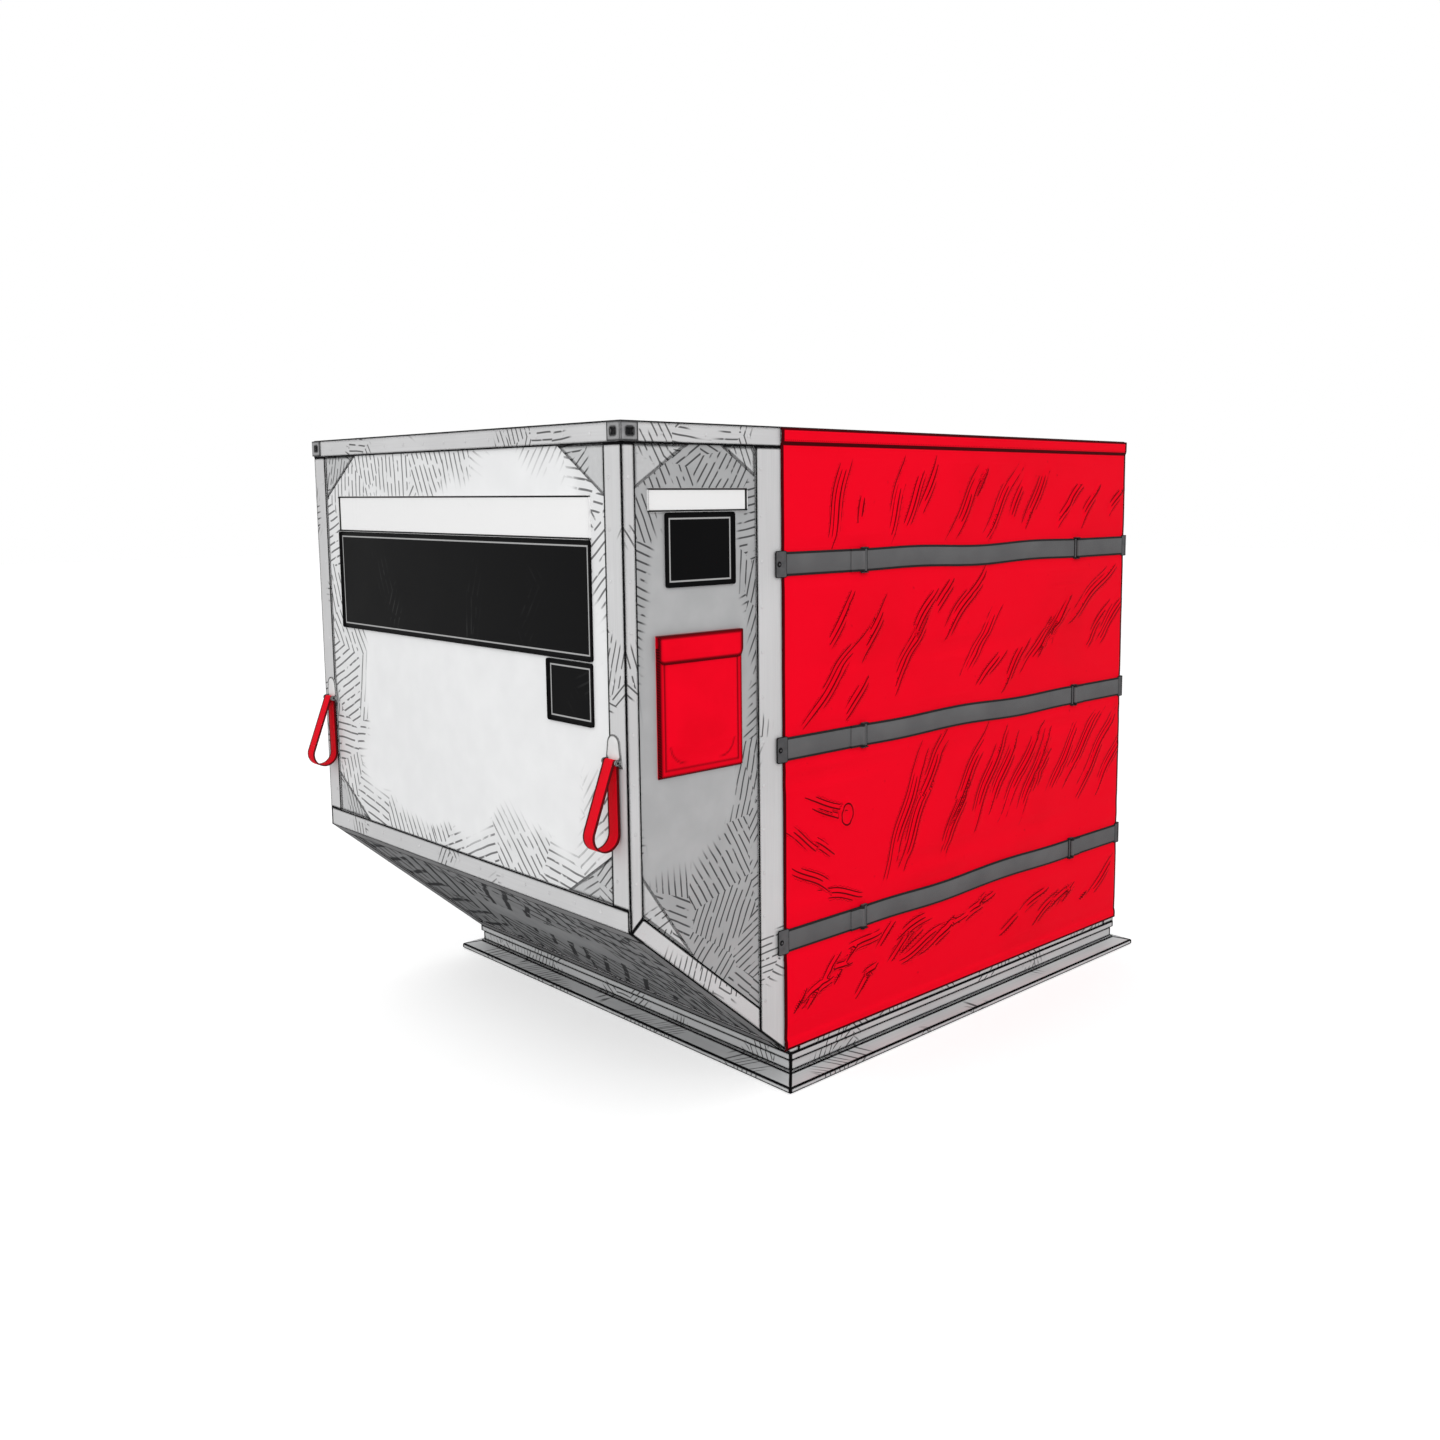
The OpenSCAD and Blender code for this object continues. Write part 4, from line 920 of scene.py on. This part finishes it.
def pouch_cover(name, columns, lines, depth, seams_and_crease_shade, keep, body):
    """A cover of the pouch: a grid that stands out by depth, with its lower edge where keep puts it."""
    x = np.linspace(columns[0], columns[1], 61)
    z = np.linspace(lines[0], lines[1], max(12, round((lines[1] - lines[0]) / 0.0045)))
    x_all, z_all = np.meshgrid(x, z)
    z_all = keep(x_all, z_all)
    y_all = depth(x_all, z_all)
    points = np.stack([x_all, y_all, z_all], -1).reshape(-1, 3)
    wide = len(x)
    faces = [(r * wide + c, r * wide + c + 1, (r + 1) * wide + c + 1, (r + 1) * wide + c)
             for r in range(len(z) - 1) for c in range(wide - 1)]
    mesh = bpy.data.meshes.new(name)
    mesh.from_pydata(points.tolist(), [], faces)
    shade = mesh.attributes.new("seam", "FLOAT", "POINT")
    shade.data.foreach_set("value", seams_and_crease_shade(x_all, z_all).reshape(-1).astype(np.float32))
    layer = mesh.uv_layers.new(name="cut")
    for loop in mesh.loops:
        point = points[loop.vertex_index]
        layer.data[loop.index].uv = (point[0], point[2])
    cover = bpy.data.objects.new(name, mesh)
    bpy.context.collection.objects.link(cover)
    bpy.ops.object.select_all(action="DESELECT")
    cover.select_set(True)
    bpy.context.view_layer.objects.active = cover
    bpy.ops.object.modifier_add(type="SOLIDIFY")
    cover.modifiers[-1].thickness = POUCH_CLOTH_T
    cover.modifiers[-1].offset = -1.0
    bpy.ops.object.modifier_apply(modifier=cover.modifiers[-1].name)
    bpy.ops.object.shade_smooth_by_angle(angle=math.radians(60))
    cover.data.materials.append(pouch_cloth)
    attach(cover, body)
    return cover


def pocket_depth(x, z):
    """The pocket lies on the sheet at its edges, rises over its edging and swells in the middle."""
    side = np.minimum(x - pouch_low.x, pouch_high.x - x)
    foot = z - pouch_low.z
    rim = np.clip(np.minimum(side, foot) / 0.004, 0, 1)
    centre = np.clip(np.minimum(side, foot) / 0.09, 0, 1)
    swell = 0.0022 * soft_step(centre) * soft_step((flap_low.z - 0.01 - z) / 0.06)
    aside = np.abs(x - 0.5 * (pouch_low.x + pouch_high.x))
    fold = 0.0016 * np.exp(-((foot - 0.05 - 0.25 * aside) / 0.012) ** 2)
    groove = 0.0011 * np.exp(-((np.minimum(side, foot) - HEM_IN) / 0.003) ** 2)
    reach = pouch_low.y - back_face
    return back_face + reach * np.sqrt(rim) - swell - fold * centre + groove


def pocket_seams_and_crease_shade(x, z):
    side = np.minimum(x - pouch_low.x, pouch_high.x - x)
    foot = z - pouch_low.z
    corner = np.hypot(side - 0.075, foot - 0.075)
    # Dark lines in the pulled creases at the lower corners are painted shade.
    pulled = np.exp(-((corner - 0.045) / 0.0022) ** 2) * soft_step((0.085 - side) / 0.02) * (foot < 0.07)
    hem = np.exp(-((np.minimum(side, foot) - HEM_IN) / 0.0025) ** 2)
    outline = np.exp(-(np.minimum(side, foot) / 0.0085) ** 6)
    return np.maximum(np.maximum(0.85 * hem, outline), 0.65 * pulled)


def flap_depth(x, z):
    side = np.minimum(x - flap_low.x, flap_high.x - x)
    foot = z - flap_low.z
    curl = 0.0015 * np.exp(-(foot / 0.018) ** 2) + 0.001 * np.exp(-(side / 0.012) ** 2)
    return np.full_like(x, flap_low.y) - 0.0003 + 0.4 * curl


def flap_seams(x, z):
    side = np.minimum(x - flap_low.x, flap_high.x - x)
    outer = np.minimum(np.minimum(side, z - flap_foot(x)), flap_high.z - z)
    return np.exp(-(outer / 0.008) ** 6)


def flap_foot(x):
    """Lower edge of the flap, round at its two corners."""
    corner = np.clip(FLAP_R - np.minimum(x - flap_low.x, flap_high.x - x), 0, FLAP_R)
    return flap_low.z + FLAP_R - np.sqrt(np.clip(FLAP_R ** 2 - corner ** 2, 0, None))


def flap_keep(x, z):
    share = (z - flap_low.z) / (flap_high.z - flap_low.z)
    return flap_foot(x) + share * (flap_high.z - 0.0008 - flap_foot(x))


pouch_columns = (pouch_low.x, pouch_high.x)
pocket = pouch_cover("pouch_pocket_cloth", pouch_columns, (pouch_low.z, pouch_high.z - MOUTH_DOWN),
                     pocket_depth, pocket_seams_and_crease_shade, lambda x, z: z, "container")
backing = pouch_cover("pouch_backing_cloth", pouch_columns, (pouch_low.z + BACKING_UP, pouch_high.z),
                      lambda x, z: np.full_like(x, back_face), lambda x, z: np.zeros_like(x),
                      lambda x, z: z, "container")
flap = pouch_cover("pouch_flap_cloth", (flap_low.x, flap_high.x), (flap_low.z, flap_high.z), flap_depth,
                   flap_seams, flap_keep, "flap")
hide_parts("pouch_pocket")
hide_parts("pouch_flap")
top_path = [(x, 0.5 * (pouch_low.y + pouch_high.y) - 0.0006, pouch_high.z - 0.0012)
            for x in np.linspace(pouch_low.x, pouch_high.x, 12)]
binding_cloth, shader, place = finish("binding_cloth", 0.6)
noise(place, 30.0).ramp(0.3, 0.7).mix(CREASE_SHADE_AND_SEAM_RED, (0.08, 0.002, 0.004, 1.0)).feed(shader, "Base Color")
ribbon("pouch_top_binding", top_path, pouch_high.y - pouch_low.y - 0.0015, 0.0022, (0.0, 1.0, 0.0),
       binding_cloth, "container")

# Pull loops: red webbing sewn to a ring, each on a steel pin between the ears of a white tab.
# The tabs are riveted to the overhang's posts, and a hand in the loop pulls the container along.
tab_paint, shader, place = finish("tab_paint", 0.4)
# Dark lines along the tab's edges, painted shade in its hollow corners.
tab_edge_lines = 0.95 * edge_lines_and_corner_shade(place, 0.009)
tab_tone = noise(place, 25.0).ramp(0.3, 0.7).mix((0.68, 0.68, 0.68, 1.0), (0.77, 0.77, 0.77, 1.0))
tab_edge_lines.mix(tab_tone, INK).feed(shader, "Base Color")
(0.35 + 0.2 * noise(place, 25.0)).feed(shader, "Roughness")
dress(tab_paint, "pull_tabs")
dress(bar_metal, "pull_pins")
LOOP_T = 0.003
SLEEVE_R = 0.0048
loop_low, loop_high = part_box("pull_loop_front")
LOOP_W = loop_high.y - loop_low.y
LOOP_R = 0.5 * (loop_high.x - loop_low.x)
loop_webbing = webbing_cloth("loop_webbing", (0.72, 0.001, 0.012, 1.0), (0.9, 0.002, 0.016, 1.0),
                             CREASE_SHADE_AND_SEAM_RED, LOOP_W)
for side in ("front", "back"):
    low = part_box("pull_loop_" + side)[0]
    pin = next(joint["pos_m"] for joint in frame["joints"] if joint["name"] == side + "_loop_swing")
    ring = LOOP_R - 0.5 * LOOP_T
    centre = Vector((low.x + LOOP_R, pin[1], low.z + LOOP_R))
    reach = math.hypot(centre.x - pin[0], centre.z - pin[2])
    lean = math.atan2(centre.z - pin[2], centre.x - pin[0])
    ease = math.acos((SLEEVE_R - ring) / reach)
    path = []
    for i in range(17):
        turn = lean + ease + (2 * math.pi - 2 * ease) * i / 16
        path.append((pin[0] + SLEEVE_R * math.cos(turn), pin[1], pin[2] + SLEEVE_R * math.sin(turn)))
    for i in range(49):
        turn = lean - ease + 2 * ease * i / 48
        path.append((centre.x + ring * math.cos(turn), pin[1], centre.z + ring * math.sin(turn)))
    path.append(path[0])
    smooth = []
    for a, b in zip(path, path[1:]):
        parts = max(1, round((Vector(b) - Vector(a)).length / 0.012))
        smooth += [Vector(a).lerp(Vector(b), i / parts) for i in range(parts)]
    smooth.append(Vector(path[0]))
    loop = ribbon("loop_webbing_" + side, smooth, LOOP_W, LOOP_T, (0.0, 1.0, 0.0), loop_webbing,
                  side + "_loop")
    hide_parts("pull_loop_" + side)

# Studio: a wide pale floor with soft light from all round and two large lamps.
# The floor is near white, so that only the container's soft shadow shows on it.


def background_rays(place):
    """1 for the rays that show the background: from the lens, off metal and through glass."""
    rays = [place.node("ShaderNodeLightPath", {}, {}, f"Is {kind} Ray")
            for kind in ("Camera", "Glossy", "Transmission")]
    return place.math("MAXIMUM", rays[0], place.math("MAXIMUM", rays[1], rays[2]))


bpy.ops.object.select_all(action="DESELECT")
bpy.ops.mesh.primitive_plane_add(size=60.0, location=(0.0, 0.0, -0.0005))
studio_floor = bpy.context.object
studio_floor.name = "studio_floor"
bpy.ops.object.transform_apply(location=True, rotation=False, scale=False)
floor_paint, shader, place = finish("studio_floor_paint", 0.9)
shader.inputs["Base Color"].default_value = (0.72, 0.72, 0.72, 1.0)
background_rays(place).mix((0.0, 0.0, 0.0, 1.0), (0.5, 0.5, 0.5, 1.0)).feed(shader, "Emission Color")
shader.inputs["Emission Strength"].default_value = 1.0
studio_floor.data.materials.append(floor_paint)

SKY_LIGHT = 0.8
world = bpy.data.worlds.new("studio_world")
bpy.context.scene.world = world
world.use_nodes = True
background = world.node_tree.nodes["Background"]
background.inputs["Color"].default_value = (1.0, 1.0, 1.0, 1.0)
sky = Tone(world.node_tree, background.outputs[0])
sky.math("MAXIMUM", SKY_LIGHT, background_rays(sky)).feed(background, "Strength")

LAMP_W = 4.0
LAMP_AIM = Vector((-0.2, 0.0, 0.8))
lamps = (("key_lamp", (-3.5, -5.5, 4.5), 105.0), ("fill_lamp", (-6.0, -0.5, 3.5), 50.0))
for name, spot, power in lamps:
    bpy.ops.object.select_all(action="DESELECT")
    bpy.ops.object.light_add(type="AREA", location=spot)
    lamp = bpy.context.object
    lamp.name = name
    lamp.data.size = LAMP_W
    lamp.data.energy = power
    lamp.rotation_euler = (LAMP_AIM - Vector(spot)).to_track_quat("-Z", "Y").to_euler()

bpy.context.scene.view_settings.view_transform = "Standard"
